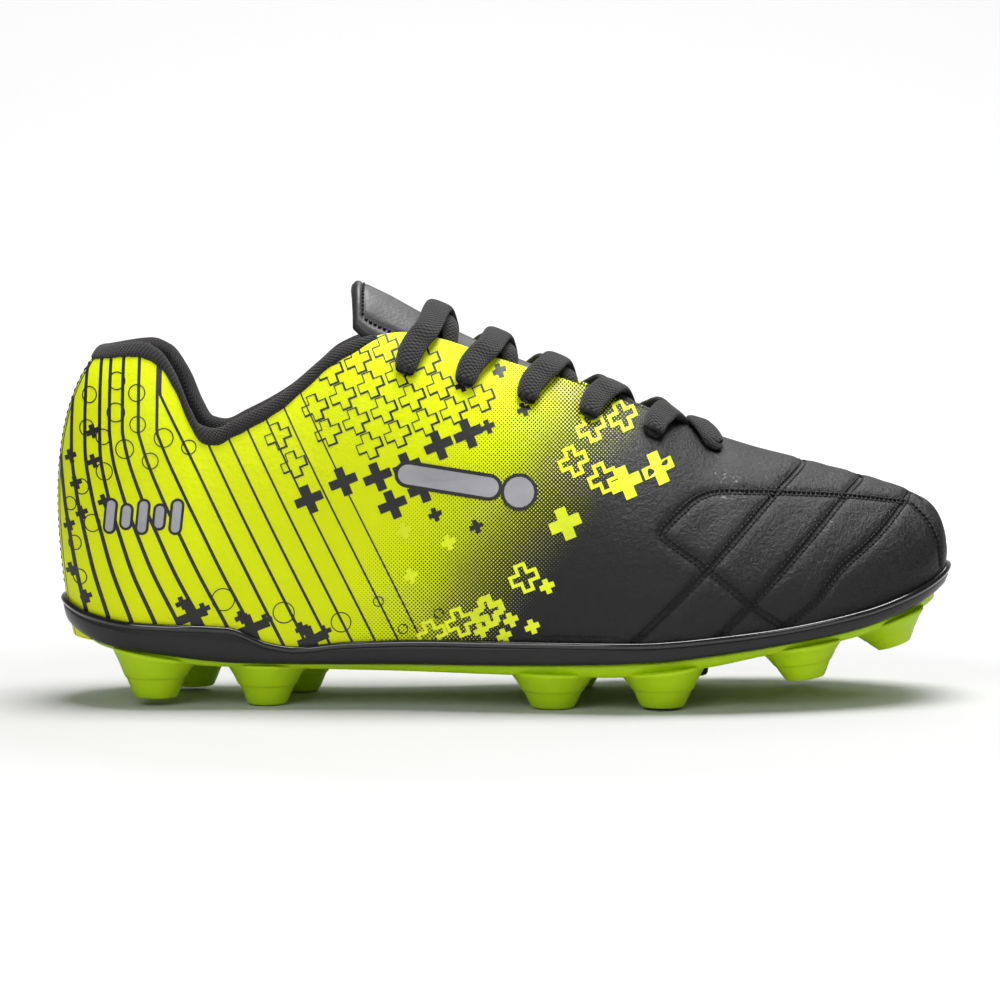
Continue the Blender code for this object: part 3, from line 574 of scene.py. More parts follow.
def find(x, z, side):
    """(u, v, miss) of places given as seen from the side; miss is how far off the nearest found is."""
    x, z = np.broadcast_arrays(np.asarray(x, float), np.asarray(z, float))
    u = np.clip(share_at(x), 0.01, 0.99)
    v = np.clip((z - floor_z(x)) / (top_z(x) - floor_z(x)), 0.02, 0.98)
    step = 5e-4
    for _ in range(14):
        here = surface(u, v, side)
        by_u = (surface(u + step, v, side) - surface(u - step, v, side)) / (2 * step)
        by_v = (surface(u, v + step, side) - surface(u, v - step, side)) / (2 * step)
        off_x, off_z = x - here[..., 0], z - here[..., 2]
        scale = by_u[..., 0] * by_v[..., 2] - by_u[..., 2] * by_v[..., 0]
        scale = np.where(np.abs(scale) < 1.0, np.where(scale < 0, -1.0, 1.0), scale)
        u = u + np.clip((off_x * by_v[..., 2] - off_z * by_v[..., 0]) / scale, -0.04, 0.04)
        v = v + np.clip((off_z * by_u[..., 0] - off_x * by_u[..., 2]) / scale, -0.12, 0.12)
        u, v = np.clip(u, step, 1 - step), np.clip(v, step, 1 - step)
    here = surface(u, v, side)
    return u, v, np.hypot(x - here[..., 0], z - here[..., 2])


def sewn_paths():
    """The sewn lines on both sides as (points, normals); those that start at the ridge run up to it."""
    paths = []
    for line in SEWN_LINES:
        places = resample(cut_corners(line), SEWN_PATH_STEP)
        for side in SIDES:
            u, v, miss = find(places[:, 0], places[:, 1], side)
            if line[0][1] > top_z(line[0][0]) - 2 and v[0] < 0.99:
                climb = np.linspace(1, v[0], 12)[:-1]
                u = np.concatenate([np.full(len(climb), u[0]), u])
                v = np.concatenate([climb, v])
                miss = np.concatenate([np.zeros(len(climb)), miss])
            near = (miss < 0.8) & (v > 0.01) & (u < 0.97)
            paths.append((surface(u, v, side)[near], surface_normal(u, v, side)[near]))
    return paths


SEWN_PATHS = sewn_paths()


def tree_of(points):
    tree = KDTree(len(points))
    for number, point in enumerate(points):
        tree.insert(point, number)
    tree.balance()
    return tree


def nearest_distance(tree, points):
    return np.array([tree.find(point)[2] for point in points])


SEWN_TREE = tree_of(np.concatenate([points for points, _ in SEWN_PATHS]))
HOLE_SHARES = share_at(FIRST_EYELET_X + EYELET_STEP * np.arange(EYELETS))
HOLE_TREE = tree_of(np.concatenate([surface(HOLE_SHARES, EYELET_ROW, side) for side in SIDES]))


def skin_height(points):
    """How far the skin stands out: puffed beside the sewn lines, pulled in at them and at the lace holes."""
    flat_points = points.reshape(-1, 3)
    height = np.zeros(len(flat_points))
    front = flat_points[:, 0] > PUFFED_FROM_X
    apart = nearest_distance(SEWN_TREE, flat_points[front])
    puff = 0.55 * apart / 4 * np.exp(1 - apart / 4) - 0.6 * np.exp(-(apart / 1.3) ** 2)
    height[front] = puff * np.clip((flat_points[front, 0] - PUFFED_FROM_X) / PUFFED_OVER, 0, 1)
    from_hole = nearest_distance(HOLE_TREE, flat_points)
    height -= 1.0 * np.exp(-(from_hole / 2.6) ** 2)
    return height.reshape(points.shape[:-1])


def skin_place(u, v, side, lift=0.0):
    """A place on the finished skin, lifted off it."""
    places = surface(u, v, side)
    return places + surface_normal(u, v, side) * (skin_height(places) + lift)[..., None]


INK_POWER, INK_GAIN, INK_BASE = 1.1, 1.1, 0.05


def ink_at(x, z):
    """How black the print is: 0 is lime, 1 is black."""
    start = np.interp(z, (20, 45, 99), (84, 87, 128))
    full = np.interp(z, (20, 45, 58, 86, 100), (139, 157, 167, 184, 190))
    share = (x - start) / (full - start)
    return np.clip(share, 0, 1.15) ** INK_POWER * INK_GAIN - INK_BASE


def make_skin():
    """Both sides of the upper as one printed skin, sewn together at the back of the heel."""
    u = np.unique(np.append(np.linspace(0, 1, SKIN_STATIONS + 1), share_at(THROAT_END_X)))[:, None]
    v = np.linspace(0, 1, SKIN_ROWS + 1)[None, :]
    points, faces, flats, inks, looks, start = [], [], [], [], [], 0
    open_top = top_edge(u[:, 0], 1.0)[0] <= THROAT_END_X + 1e-6
    for side in SIDES:
        outer = skin_place(u, v, side)
        inner = layer(u, v, side, SKIN)
        made, made_faces = shell(outer, inner, sides=(False, False, True, False))
        rows, columns = outer.shape[:2]
        rim = (np.arange(rows) * columns + columns - 1)[open_top]
        made_faces = np.concatenate([made_faces, strip_faces(rim, rim + rows * columns)])
        looks.append((made_faces.min(axis=1) >= rows * columns).astype(int))
        points.append(made)
        faces.append(made_faces + start)
        shown = np.concatenate([outer.reshape(-1, 3)] * 2)
        flats.append(shown[:, (0, 2)])
        inks.append(ink_at(shown[:, 0], shown[:, 2]))
        start += len(made)
    skin = add_mesh("upper_skin", np.concatenate(points), np.concatenate(faces).tolist(),
                    [PRINT, LINING_CLOTH], np.concatenate(flats), np.concatenate(looks).tolist(),
                    {"ink": np.concatenate(inks)})
    bends(skin, "quarter_lateral", "quarter_medial", "vamp_flex_panel", "toe_vamp")


def stitch_row(points, normals, offset, step=STITCH_STEP):
    """Places, directions and normals of stitches along a path, offset sideways over the surface."""
    if len(points) < 4:
        return np.zeros((0, 3, 3))
    along = unit(np.gradient(points, axis=0))
    shifted = points + np.cross(normals, along) * offset
    stations = np.concatenate([shifted, along, normals], 1)
    length = lengths(shifted)
    at = np.arange(step / 2, length[-1], step)
    return np.stack([np.interp(at, length, stations[:, k]) for k in range(9)], 1).reshape(-1, 3, 3)


def add_stitches(name, rows, lift=0.0):
    """Short rounded stitches: each row is an array of (place, direction, normal)."""
    stitches = np.concatenate(rows)
    place, along, normal = stitches[:, 0], stitches[:, 1], stitches[:, 2]
    along = unit(along)
    normal = square_to(along, normal)
    sideways = np.cross(normal, along)
    turns = np.linspace(0, 2 * np.pi, 7)[:-1]
    rings = ((-1, 0.35), (-0.7, 0.9), (0, 1), (0.7, 0.9), (1, 0.35))
    points = []
    for share, radius in rings:
        for turn in turns:
            points.append(place + along * share * STITCH_HALF + STITCH_RADIUS * radius * (
                np.cos(turn) * sideways + np.sin(turn) * normal) + normal * lift)
    points = np.stack(points, 1)
    count, each = points.shape[:2]
    faces = []
    for ring in range(len(rings) - 1):
        for k in range(6):
            after = (k + 1) % 6
            faces.append((ring * 6 + k, ring * 6 + after, ring * 6 + 6 + after, ring * 6 + 6 + k))
    caps = (tuple(range(6)), tuple(range(each - 6, each)))
    every = [tuple(c + number * each for c in face) for number in range(count) for face in (*faces, *caps)]
    points = points.reshape(-1, 3)
    return add_mesh(name, points, every, [BLACK_THREAD], points[:, (0, 2)])


def make_toe_stitching():
    rows = [stitch_row(points, normals, offset) for points, normals in SEWN_PATHS
            for offset in (-SEWN_APART, SEWN_APART)]
    x = np.arange(150, 186, 0.7)
    for side in SIDES:
        u, v, _ = find(x, feather_z(x) + 2.6, side)
        rows.append(stitch_row(surface(u, v, side), surface_normal(u, v, side), 0))
    bends(add_stitches("toe_stitching", rows))


def make_heel_seam():
    """Two rows of stitches beside the seam at the back of the heel."""
    v = np.linspace(0.16, 0.95, 90)
    rows = []
    for side in SIDES:
        u = share_at(HEEL_X + 0.35) + 0 * v
        rows.append(stitch_row(surface(u, v, side), surface_normal(u, v, side), 0, 2.4))
    rides(add_stitches("heel_seam_stitching", rows, -0.05), "rear")


# ---------------------------------------------------------------- the print

# Crosses are sized as (half length, half width) of their arms and placed by (x, z) as seen from the
# side. Rings are (x, z, radius) and bars (x, z, half length, half height).
MARK_TURN = math.radians(22)
OPEN_CROSS, CROSS, SMALL_CROSS = (4.1, 1.65), (4.4, 1.4), (2.1, 0.75)
LIME_OPEN_CROSS, LIME_CROSS, LIME_SMALL_CROSS = (4.6, 1.9), (4.9, 1.75), (2.3, 0.85)
LATTICE_START, LATTICE_BACK, LATTICE_DOWN = (102.8, 110.6), (-8.5, -3.5), (4.1, -7.4)
LATTICE_ROWS = ((0, 0, 3), (1, -1, 4), (2, -1, 4), (3, -2, 3))
MORE_OUTLINED = ((70, 84), (75, 75.5))
SOLID_BLACK = ((128, 85), (119, 81.5), (109.5, 75), (100.5, 72), (90, 70.5), (79.5, 65), (114, 68.5),
               (105, 63.5), (43.5, 29), (61.5, 25), (80, 21.5))
SMALL_BLACK = ((137.5, 103.5), (126, 99.5), (145, 92), (134, 87), (118, 60.5), (130.5, 57), (40.5, 33),
               (47, 31), (58.5, 28.5), (66, 27.5), (77, 25), (84, 24), (5, 77), (7, 69), (4.5, 56), (9, 60),
               (16.5, 64), (5, 42), (10, 34), (12.5, 85), (13, 76))
OUTLINED_LIME = ((165.5, 86.5), (175.5, 89.5), (160, 76.5), (169, 71.5), (145, 41.5), (134, 30.5),
                 (117, 23.5), (125.5, 27.5), (134.5, 31.5))
SOLID_LIME = ((176, 70), (186, 74), (157.5, 58))
SMALL_LIME = ((152, 39), (147.5, 26.5), (139, 23.5), (141, 28.5), (132, 25), (122, 52), (108.5, 55.5),
              (110.5, 41.5))
RINGS = ((53, 34, 3.6), (71.5, 30, 3.4), (89, 27, 3.2), (100.5, 33.5, 1.7), (119, 30, 1.6), (108, 25, 1.6),
         (20, 100.5, 2.8), (26.5, 97, 2.7), (20, 91, 3), (27, 87.5, 2.6), (11, 96, 2.6), (10.5, 86, 2.6),
         (16, 83.5, 2.5), (23, 80, 3), (31, 76.5, 2.6), (16.5, 73, 2.8), (35, 83.5, 3), (42.5, 80.5, 2.3),
         (9, 68, 2.5), (12.5, 57, 2.8), (6.5, 50.5, 2.4), (8, 40, 2.5), (5, 62.5, 2.2))
EMBLEM_TILT, BAR_TILT = math.radians(-9), math.radians(84)
EMBLEM_BARS = ((122, 70.8, 15.5, 3.0), (143.5, 67.4, 4.6, 4.6))
HEEL_BARS = tuple((18.5 + 5.1 * k, 59.5, 3.4 if k % 2 else 4.8, 1.3) for k in range(5))
EMBLEM_EDGE, BAR_EDGE = 1.1, 0.8
EDGE_LIFT, SILVER_LIFT, STRIPE_LIFT = 0.15, 0.24, 0.09
STRIPES = 16
STRIPE_SLOPE, STRIPE_LOW_Z = 0.49, 26.0
STRIPE_FIRST_X, STRIPE_STEP = 3.5, 7.2
stripe_sweep = smooth_curve((20, -0.12), (26, 0), (42.6, 0.4), (53.4, 0.6), (65, 0.8), (80, 0.96), (112, 1))
stripe_reach = smooth_curve((0, 4.5), (1, 10), (4, 18), (7, 24), (11, 30), (16, 30))


def cross_points(length, width):
    """The outline of a plus sign from the half length and half width of its arms."""
    w, l = width, length
    return np.array([(w, w), (w, l), (-w, l), (-w, w), (-l, w), (-l, -w), (-w, -w), (-w, -l), (w, -l),
                     (w, -w), (l, -w), (l, w)], float)


def ring_points(radius, count=26):
    turn = np.linspace(0, 2 * np.pi, count + 1)[:-1]
    return radius * np.stack([np.cos(turn), np.sin(turn)], 1)


def pill_points(half_long, half_high, count=10):
    """The outline of a bar with round ends."""
    turn = np.linspace(-np.pi / 2, np.pi / 2, count)
    right = np.stack([half_long - half_high + half_high * np.cos(turn), half_high * np.sin(turn)], 1)
    return np.concatenate([right, -right])


def turned(points, angle, centre):
    c, s = math.cos(angle), math.sin(angle)
    return points @ np.array([[c, s], [-s, c]]) + centre


def band(near, far, side, closed, lift=PRINT_LIFT):
    """A printed band between two lines of points, as seen from the side."""
    places = np.stack([near, far], 1)
    if closed:
        places = np.concatenate([places, places[:1]])
    return places, side, closed, lift


def lay(bands):
    """Thin solid bands laid over the skin; those that fall off its edge are left out or cut short."""
    counts = [len(places) for places, _, _, _ in bands]
    places = np.concatenate([places for places, _, _, _ in bands])
    side = np.repeat([float(side) for _, side, _, _ in bands], counts)[:, None]
    lift = np.repeat([lift for _, _, _, lift in bands], counts)[:, None]
    u, v, miss = find(places[..., 0], places[..., 1], side)
    outer, inner = skin_place(u, v, side, lift), skin_place(u, v, side, PRINT_ROOT)
    parts, start = [], 0
    for count, (_, _, closed, _) in zip(counts, bands):
        rows = np.arange(start, start + count)
        start += count
        rows = rows[miss[rows].mean() < 0.5] if closed else rows[(miss[rows] < 0.4).all(axis=1)]
        rows = rows.reshape(-1)
        if len(rows) < 4:
            continue
        points, faces = shell(outer[rows], inner[rows], sides=(not closed, not closed, True, True))
        parts.append((points, faces.tolist(), np.concatenate([places[rows].reshape(-1, 2)] * 2)))
    return parts


def mark(shape, hole, centre, side, angle=MARK_TURN, shift=0.0, lift=PRINT_LIFT):
    """A printed shape, solid if its hole is None; shift moves the hole up and back, so that lower edges
    print heavier."""
    outer = turned(shape, angle, centre)
    inner = turned((0 * shape if hole is None else hole) + np.array([-shift, shift]), angle, centre)
    return band(outer, inner, side, True, lift)


def lattice():
    """Places of the close-set outlined crosses below the throat."""
    start, back, down = (np.array(p) for p in (LATTICE_START, LATTICE_BACK, LATTICE_DOWN))
    places = [start + down * row + back * k for row, first, last in LATTICE_ROWS for k in range(first, last)]
    return [tuple(p) for p in places] + list(MORE_OUTLINED)


def crosses(places, size, stroke, side, shift=0.0):
    """Plus signs, outlined with a stroke or solid without one."""
    length, width = size
    hole = cross_points(length - stroke, width - stroke) if stroke else None
    return [mark(cross_points(length, width), hole, place, side, shift=shift) for place in places]


def stripes(side):
    """Curved lines that fall from the ankle opening to the sole, bold at the heel and fine in front."""
    made = []
    z = np.linspace(19, 111, 64)
    for number in range(STRIPES):
        straight = np.clip((number - 4) / 5, 0, 1)
        slanted = STRIPE_SLOPE * (np.minimum(z, np.interp(number, (8, 11), (85, 120))) - STRIPE_LOW_Z)
        swept = (1 - straight) * stripe_reach(number) * stripe_sweep(z) + straight * slanted
        x = STRIPE_FIRST_X + STRIPE_STEP * number - swept
        half = 0.5 * np.interp(number, (0, 6, 15), (1.3, 1.2, 0.55)) * np.interp(z, (25, 85), (1.15, 0.85))
        x = np.maximum(x, REAR_X(z) + 0.9)
        line = np.stack([x, z], 1)
        inside = (z < top_z(x) - 1.0) | (x < 20)
        offset = np.stack([half, 0 * half], 1)[inside]
        made.append(band(line[inside] - offset, line[inside] + offset, side, False, STRIPE_LIFT))
    return made


def rear_edge():
    """The heel's rearmost x at a height."""
    v = np.linspace(0, 1, 60)
    back = surface(0.0, v, 1.0)
    return lambda z: np.interp(z, back[:, 2], back[:, 0])


REAR_X = rear_edge()


def add_print(name, bands, material):
    bends(join_parts(name, lay(bands), material, smooth=False))


def make_print():
    black, lime, silver = [], [], []
    for side in SIDES:
        black += crosses(lattice(), OPEN_CROSS, 0.45, side, 0.16)
        black += crosses(SOLID_BLACK, CROSS, 0, side) + crosses(SMALL_BLACK, SMALL_CROSS, 0, side)
        black += [mark(ring_points(r), ring_points(r - 0.32), (x, z), side) for x, z, r in RINGS]
        black += stripes(side)
        lime += crosses(OUTLINED_LIME, LIME_OPEN_CROSS, 1.05, side) + crosses(SOLID_LIME, LIME_CROSS, 0, side)
        lime += crosses(SMALL_LIME, LIME_SMALL_CROSS, 0, side)
        for bars, tilt, edge in ((EMBLEM_BARS, EMBLEM_TILT, EMBLEM_EDGE), (HEEL_BARS, BAR_TILT, BAR_EDGE)):
            for x, z, long, high in bars:
                below = pill_points(long + edge, high + edge)
                black.append(mark(below, None, (x, z), side, tilt, lift=EDGE_LIFT))
                silver.append(mark(pill_points(long, high), None, (x, z), side, tilt, lift=SILVER_LIFT))
    add_print("print_black", black, BLACK_PRINT)
    add_print("print_lime", lime, LIME_PRINT)
    add_print("print_silver", silver, SILVER_PRINT)


# ---------------------------------------------------------------- sole


PLATE_EDGE = 2.6
STUD_STEP_SHARE = 0.5


def plate_top(x):
    return wall_low_z(x) - 0.1


def ring_stations(count=150):
    """Stations round the whole sole, close-set at both ends: (u, side) from the heel and back to it."""
    half = np.linspace(0, 1, count)
    return np.concatenate([half, half[-2:0:-1]]), np.concatenate([np.full(count, -1.0), np.ones(count - 2)])


def wall_profile(u, side):
    """The sidewall's section, from inside the bead, over it and down to the plate, as (station, point, 3)."""
    foot_x, _ = outline(u, side)
    normal_x, normal_y = outline_normal(u, side)
    out = np.stack([normal_x, normal_y, 0 * normal_x], -1)[:, None, :]
    feather, bottom = feather_z(foot_x), wall_low_z(foot_x)
    v = np.linspace(0, 0.6, 60)
    wall = surface(u[:, None], v[None, :], side[:, None])

    def wall_at(heights):
        """Places on the upper at heights; below its foot they keep to the foot."""
        return np.array([[np.interp(z, row[:, 2], row[:, k]) for k in range(2)] + [z]
                         for z, row in zip(heights, wall)])

    lip, low = wall_at(feather), wall_at(bottom)
    base, foot = lip[:, None, :], low[:, None, :]
    turn = np.radians(np.linspace(150, -60, 9))[None, :, None]
    bead_radius = 1.15
    bead = base + out * (0.75 + bead_radius * np.cos(turn))
    bead = bead + bead_radius * np.sin(turn) * np.array([0, 0, 1.0]) - (0, 0, 0.3)
    shares, bulges = (0.16, 0.22, 0.35, 0.5, 0.65, 0.8, 0.92), (1.1, 1.4, 1.5, 1.45, 1.3, 1.0, 0.4)
    wall_side = np.stack([wall_at(feather + (bottom - feather) * share) for share in shares], 1)
    wall_side = wall_side + out * np.array(bulges)[None, :, None]
    under = foot - out * np.array([0.6, 3.0, 7.0])[None, :, None]
    return np.concatenate([bead, wall_side, under], 1)


def make_sidewall():
    """The black moulded cup: a glossy bead along its lip, a satin wall below it."""
    u, side = ring_stations()
    outer = wall_profile(u, side)
    normal_x, normal_y = outline_normal(u, side)
    out = np.stack([normal_x, normal_y, 0 * normal_x], -1)[:, None, :]
    inner = outer - out * 2.2
    inner[:, -3:] = outer[:, -3:] + (0, 0, 1.4)
    outer, inner = (np.concatenate([grid, grid[:1]]) for grid in (outer, inner))
    points, faces = shell(outer, inner, sides=(False, False, True, True))
    bead_columns = 9
    column = np.arange(outer.shape[1] - 1)
    glossy = np.tile(column < bead_columns - 1, outer.shape[0] - 1)
    looks = np.zeros(len(faces), int)
    looks[:len(glossy)] = glossy
    wall = add_mesh("sole_sidewall", points, faces.tolist(), [SATIN_BLACK, GLOSS_BLACK], shell_flat(outer),
                    looks.tolist())
    bends(wall, "sidewall_heel", "sidewall_forefoot")


def plate_outline(u, side, inset):
    """The upper's outline moved in by an inset."""
    x, y = outline(u, side)
    normal_x, normal_y = outline_normal(u, side)
    return x - normal_x * inset, y - normal_y * inset


def make_plate():
    """The lime plate: rounded edge, shallow arch ridges and bending grooves underneath."""
    u = np.linspace(0, 1, 170)[:, None]
    across = np.linspace(-1, 1, 57)[None, :]
    left_x, left_y = plate_outline(u, -1.0, PLATE_EDGE)
    right_x, right_y = plate_outline(u, 1.0, PLATE_EDGE)
    share = (across + 1) / 2
    x, y = left_x + (right_x - left_x) * share, left_y + (right_y - left_y) * share
    edge = (1 - np.abs(across)) * np.abs(right_y - left_y) / 2
    edge = np.minimum(edge, np.minimum(x - HEEL_X, TOE_X - x) * 1.2 + 0.05)
    rounding = 1 - np.sqrt(1 - np.clip(1 - edge / PLATE_EDGE, 0, 1) ** 2)
    top = plate_top(x)
    low = plate_low_z(x)
    tall = np.maximum(top - low, 0.6)
    arch = np.clip((x - 86) / 10, 0, 1) * np.clip((146 - x) / 10, 0, 1)
    ridge_y = np.abs(y - centre_y(x))
    ridges = np.exp(-((ridge_y - 9) / 1.6) ** 2) * arch
    panel = 1 / (1 + np.exp((ridge_y - 7.0) / 0.35)) * arch
    ball = np.clip((x - 166) / 4, 0, 1) * np.clip((250 - x) / 6, 0, 1)
    grooves = np.exp(-(((x - 213 + 0.004 * (y - 5) ** 2) % 9.0 - 4.5) / 0.8) ** 2) * ball
    grooves *= 1 / (1 + np.exp((np.abs(y - 3) - 17) / 0.8))
    low = low + rounding * tall * 0.75 + 0.9 * panel + 0.6 * grooves - 0.5 * ridges
    outer = np.stack(np.broadcast_arrays(x, y, np.minimum(low, top - 0.3)), -1)
    inner = np.stack(np.broadcast_arrays(x, y, top), -1)
    points, faces = shell(outer, inner)
    plate = (points, faces.tolist(), shell_flat(outer))
    studs = [stud_part(*stud, 0) for stud in HEEL_STUDS + BALL_STUDS]
    studs += [stud_part(*stud, 1) for stud in TOE_STUDS]
    made = join_parts("sole_plate", [plate, *studs], PLATE)
    bends(made, "outsole_heel", "outsole_forefoot")


def stud_section(radius, tall):
    """A moulded stud's outline from the middle of its tip, as (radius, height below the plate)."""
    step, foot = STUD_STEP_SHARE * tall, radius + 0.4
    low = [(0, 0.25), (0.5 * foot, 0.12), (foot - 1.3, 0), (foot - 0.55, 0.18), (foot - 0.1, 0.75),
           (foot + 0.9, 0.5 * step), (foot + 2.0, step - 0.35), (foot + 2.2, step - 0.05),
           (foot + 2.55, step + 0.12), (foot + 2.8, step + 0.5)]
    flare = [(foot + 3.7, tall - 0.62 * step), (foot + 4.8, tall - 0.32 * step),
             (foot + 5.8, tall - 0.1 * step), (foot + 6.4, tall + 0.1), (foot + 6.5, tall + 0.9)]
    return [(r, h - tall) for r, h in low + flare]


def stud_part(x, y, tip_z, radius, tilted):
    """A stud whose flared root follows the plate's underside; tilted is 1 if it stands square to it."""
    root = float(plate_low_z(x))
    slope = tilted * float(plate_low_z(x + 5) - plate_low_z(x - 5)) / 10
    section = stud_section(radius, root - tip_z)
    points, faces, flat = turned_part((x, y, root), section, math.atan(slope))
    rings = points.reshape(len(section), -1, 3)
    height = np.array(section)[:, 1:]
    follow = np.clip(1 + height / (STUD_STEP_SHARE * (root - tip_z)), 0, 1) ** 1.5
    rings[..., 2] += follow * (plate_low_z(rings[..., 0]) - root - (rings[..., 0] - x) * slope)
    return rings.reshape(-1, 3), faces, flat


def turned_part(place, section, tilt=0.0, segments=40):
    """A turned body from its section, (radius, height) from the tip up, as a part for join_parts."""
    turn = np.linspace(0, 2 * np.pi, segments + 1)[None, :]
    radius, height = np.array(section, float).T[:, :, None]
    grid = np.stack([radius * np.cos(turn), radius * np.sin(turn), height + 0 * turn], -1)
    c, s = math.cos(tilt), math.sin(tilt)
    points = grid @ np.array([[c, 0, s], [0, 1, 0], [-s, 0, c]]) + place
    faces = grid_faces(*grid.shape[:2]).tolist()
    last = (grid.shape[0] - 1) * grid.shape[1]
    faces.append(list(range(last, last + segments)))
    flat = np.stack([radius * turn, height + 0 * turn], -1).reshape(-1, 2)
    return points.reshape(-1, 3), faces, flat


def make_centre_stud():
    x, y, tip_z, radius = CENTRE_STUD
    root = float(plate_low_z(x)) - 0.6
    tall = root - tip_z
    section = [(0, -tall), (radius - 1.2, -tall), (radius - 0.4, 0.3 - tall), (radius, 1 - tall),
               (radius + 0.4, -1.8), (radius + 1.4, -0.9), (radius + 2.6, -0.4), (radius + 3, 0),
               (radius + 3, 1.2)]
    made = join_parts("centre_stud", [turned_part((x, y, root), section)], SATIN_BLACK)
    bends(made, "forefoot_insert")


def slab_grid(first_x, last_x, inset, count=80, columns=25):
    u = np.linspace(share_at(first_x), share_at(last_x), count)[:, None]
    share = np.linspace(0, 1, columns)[None, :]
    left_x, left_y = plate_outline(u, -1.0, inset)
    right_x, right_y = plate_outline(u, 1.0, inset)
    return left_x + (right_x - left_x) * share, left_y + (right_y - left_y) * share, share


def make_slab(name, span, inset, low, thickness, material, nodes, dish=0.0):
    """A flexible layer of the footbed; dish raises its sides."""
    x, y, share = slab_grid(*span, inset)
    rise = dish * np.abs(2 * share - 1) ** 4
    top = np.stack([x, y, floor_z(x) + low + thickness + rise], -1)
    bottom = np.stack([x, y, floor_z(x) + low + 0.3 * rise], -1)
    bends(add_shell(name, top, bottom, material), *nodes)


def make_footbed():
    ends = (HEEL_X + 0.3, TOE_X - 0.3)
    make_slab("insole_board", ends, 5.4, 1.6, 1.6, BOARD, ("insole_board_heel", "insole_board_forefoot"))
    make_slab("sockliner", ends, 5.0, 3.5, 3.4, LINING_CLOTH, ("sockliner_heel", "sockliner_forefoot"), 1.5)
    make_slab("ball_cushion", (160, 262), 8, 0.3, 1.0, FOAM, ("ball_filler", "toe_filler"))


# ---------------------------------------------------------------- inside and collar

BACKING_DEPTH, BACKING = SKIN + 0.3, 0.9
LINING_DEPTH = 2.9
LINED_FROM_X, LINED_UP_TO = 94.5, 5 / 7


def side_layer(name, side, span, rows, depth, thickness, material, *nodes):
    u = np.linspace(share_at(span[0]), share_at(span[1]), 120)[:, None]
    v = np.linspace(*rows, 30)[None, :]
    outer, inner = layer(u, v, side, depth), layer(u, v, side, depth + thickness)
    bends(add_shell(name, outer, inner, material), *nodes)


def over_layer(name, first, depth, thickness, material, *nodes):
    """A layer over the toe, from the lateral sole across the centre line to the medial sole."""
    u = np.linspace(first, 1, 70)[:, None]
    across = np.linspace(-1, 1, 101)[None, :]
    side = np.where(across > 0, 1.0, -1.0)
    v = 1 - np.abs(across)
    outer, inner = layer(u, v, side, depth), layer(u, v, side, depth + thickness)
    points, faces = shell(outer, inner, sides=(True, False, True, True))
    bends(add_mesh(name, points, faces.tolist(), [material], shell_flat(outer)), *nodes)


def make_inner_layers():
    for side, word in ((LATERAL, "lateral"), (MEDIAL, "medial")):
        side_layer(f"eyestay_backing_{word}", side, (LINED_FROM_X, 205), (LINED_UP_TO, 0.985),
                   BACKING_DEPTH, BACKING, LINING_CLOTH, f"eyestay_{word}")
        side_layer(f"side_lining_{word}", side, (LINED_FROM_X, BEND_X + 8), (0, LINED_UP_TO - 0.02),
                   LINING_DEPTH, LINING, LINING_CLOTH, f"quarter_lining_{word}")
    over_layer("toe_stiffener", share_at(236.0), BACKING_DEPTH, BACKING, STIFFENER, "toe_puff")
    over_layer("toe_lining", share_at(216.0), LINING_DEPTH, LINING, LINING_CLOTH, "vamp_lining")


def round_heel(front_x, count=150):
    """(u, side) round the heel, from front_x on one side to front_x on the other."""
    front = float(share_at(front_x))
    around = np.linspace(-front, front, 2 * count + 1)
    return np.abs(around)[:, None], np.where(around > 0, 1.0, -1.0)[:, None]


def collar_depth(v):
    """How deep the padded lining's face lies: full pads below the edge, a soft channel, thin at the sole."""
    pad = np.interp(v, (0, 0.06, 0.42, 0.5, 0.62, 0.8, 0.9, 0.96, 1),
                    (LINING_DEPTH, 3.9, 3.9, 4.3, 5.6, 5.9, 5.3, 4.2, 3.2))
    channel = 0.9 * np.exp(-((v - 0.71) / 0.02) ** 2)
    return pad - channel


def make_collar():
    """Padded mesh lining of the ankle, and the knitted tape over its edge."""
    u, side = round_heel(COLLAR_FRONT_X)
    v = np.linspace(0, 0.995, 70)[None, :]
    face = layer(u, v, side, collar_depth(v))
    back = layer(u, v, side, LINING_DEPTH - LINING)
    rides(add_shell("collar_lining", face, back, COLLAR_MESH), "rear", "heel_lining", "collar_foam")
    u, side = round_heel(COLLAR_FRONT_X + 7)
    make_tape(u[:, 0], side[:, 0])


def make_tape(u, side):
    """The knitted tape folded over the edge, rounded, with a slightly uneven hem."""
    edge_out = surface(u, 1.0, side)
    upward = unit(edge_out - surface(u, 0.9, side))
    normal = square_to(upward, surface_normal(u, 0.97, side))
    waves = 0.12 * np.sin(np.arange(len(u)) * 0.9)
    section = ((0.25, -4.4), (0.8, -3.9), (1.05, -2.6), (1.1, -1.2), (0.9, 0.1), (0.3, 1.0), (-0.9, 1.55),
               (-2.2, 1.5), (-3.5, 1.0), (-4.4, 0.0), (-4.9, -1.4), (-5.3, -2.8), (-5.5, -4.0), (-5.2, -4.5))
    full = np.clip((COLLAR_FRONT_X + 7.5 - edge_out[:, :1]) / 9, 0.12, 1) ** 0.5
    rows = [edge_out + normal * out * full + upward * ((rise + waves * (number in (0, 1)))[:, None] * full)
            for number, (out, rise) in enumerate(section)]
    outer = np.stack(rows, 1)
    middle = np.stack([edge_out - (normal * (0.1 + 4.4 * k / (len(section) - 1)) + upward * 1.2
                                   + upward * 3.0 * abs(2 * k / (len(section) - 1) - 1)) * full
                       for k in range(len(section))], 1)
    rides(add_shell("collar_tape", outer, middle, KNIT_TAPE), "rear", "topline_binding")


# ---------------------------------------------------------------- tongue and lace


def tongue_surface(x, across):
    y = across * tongue_half(x)
    return np.stack(np.broadcast_arrays(x, centre_y(x) + y, tongue_z(x) - tongue_arch(x) * y**2), -1)


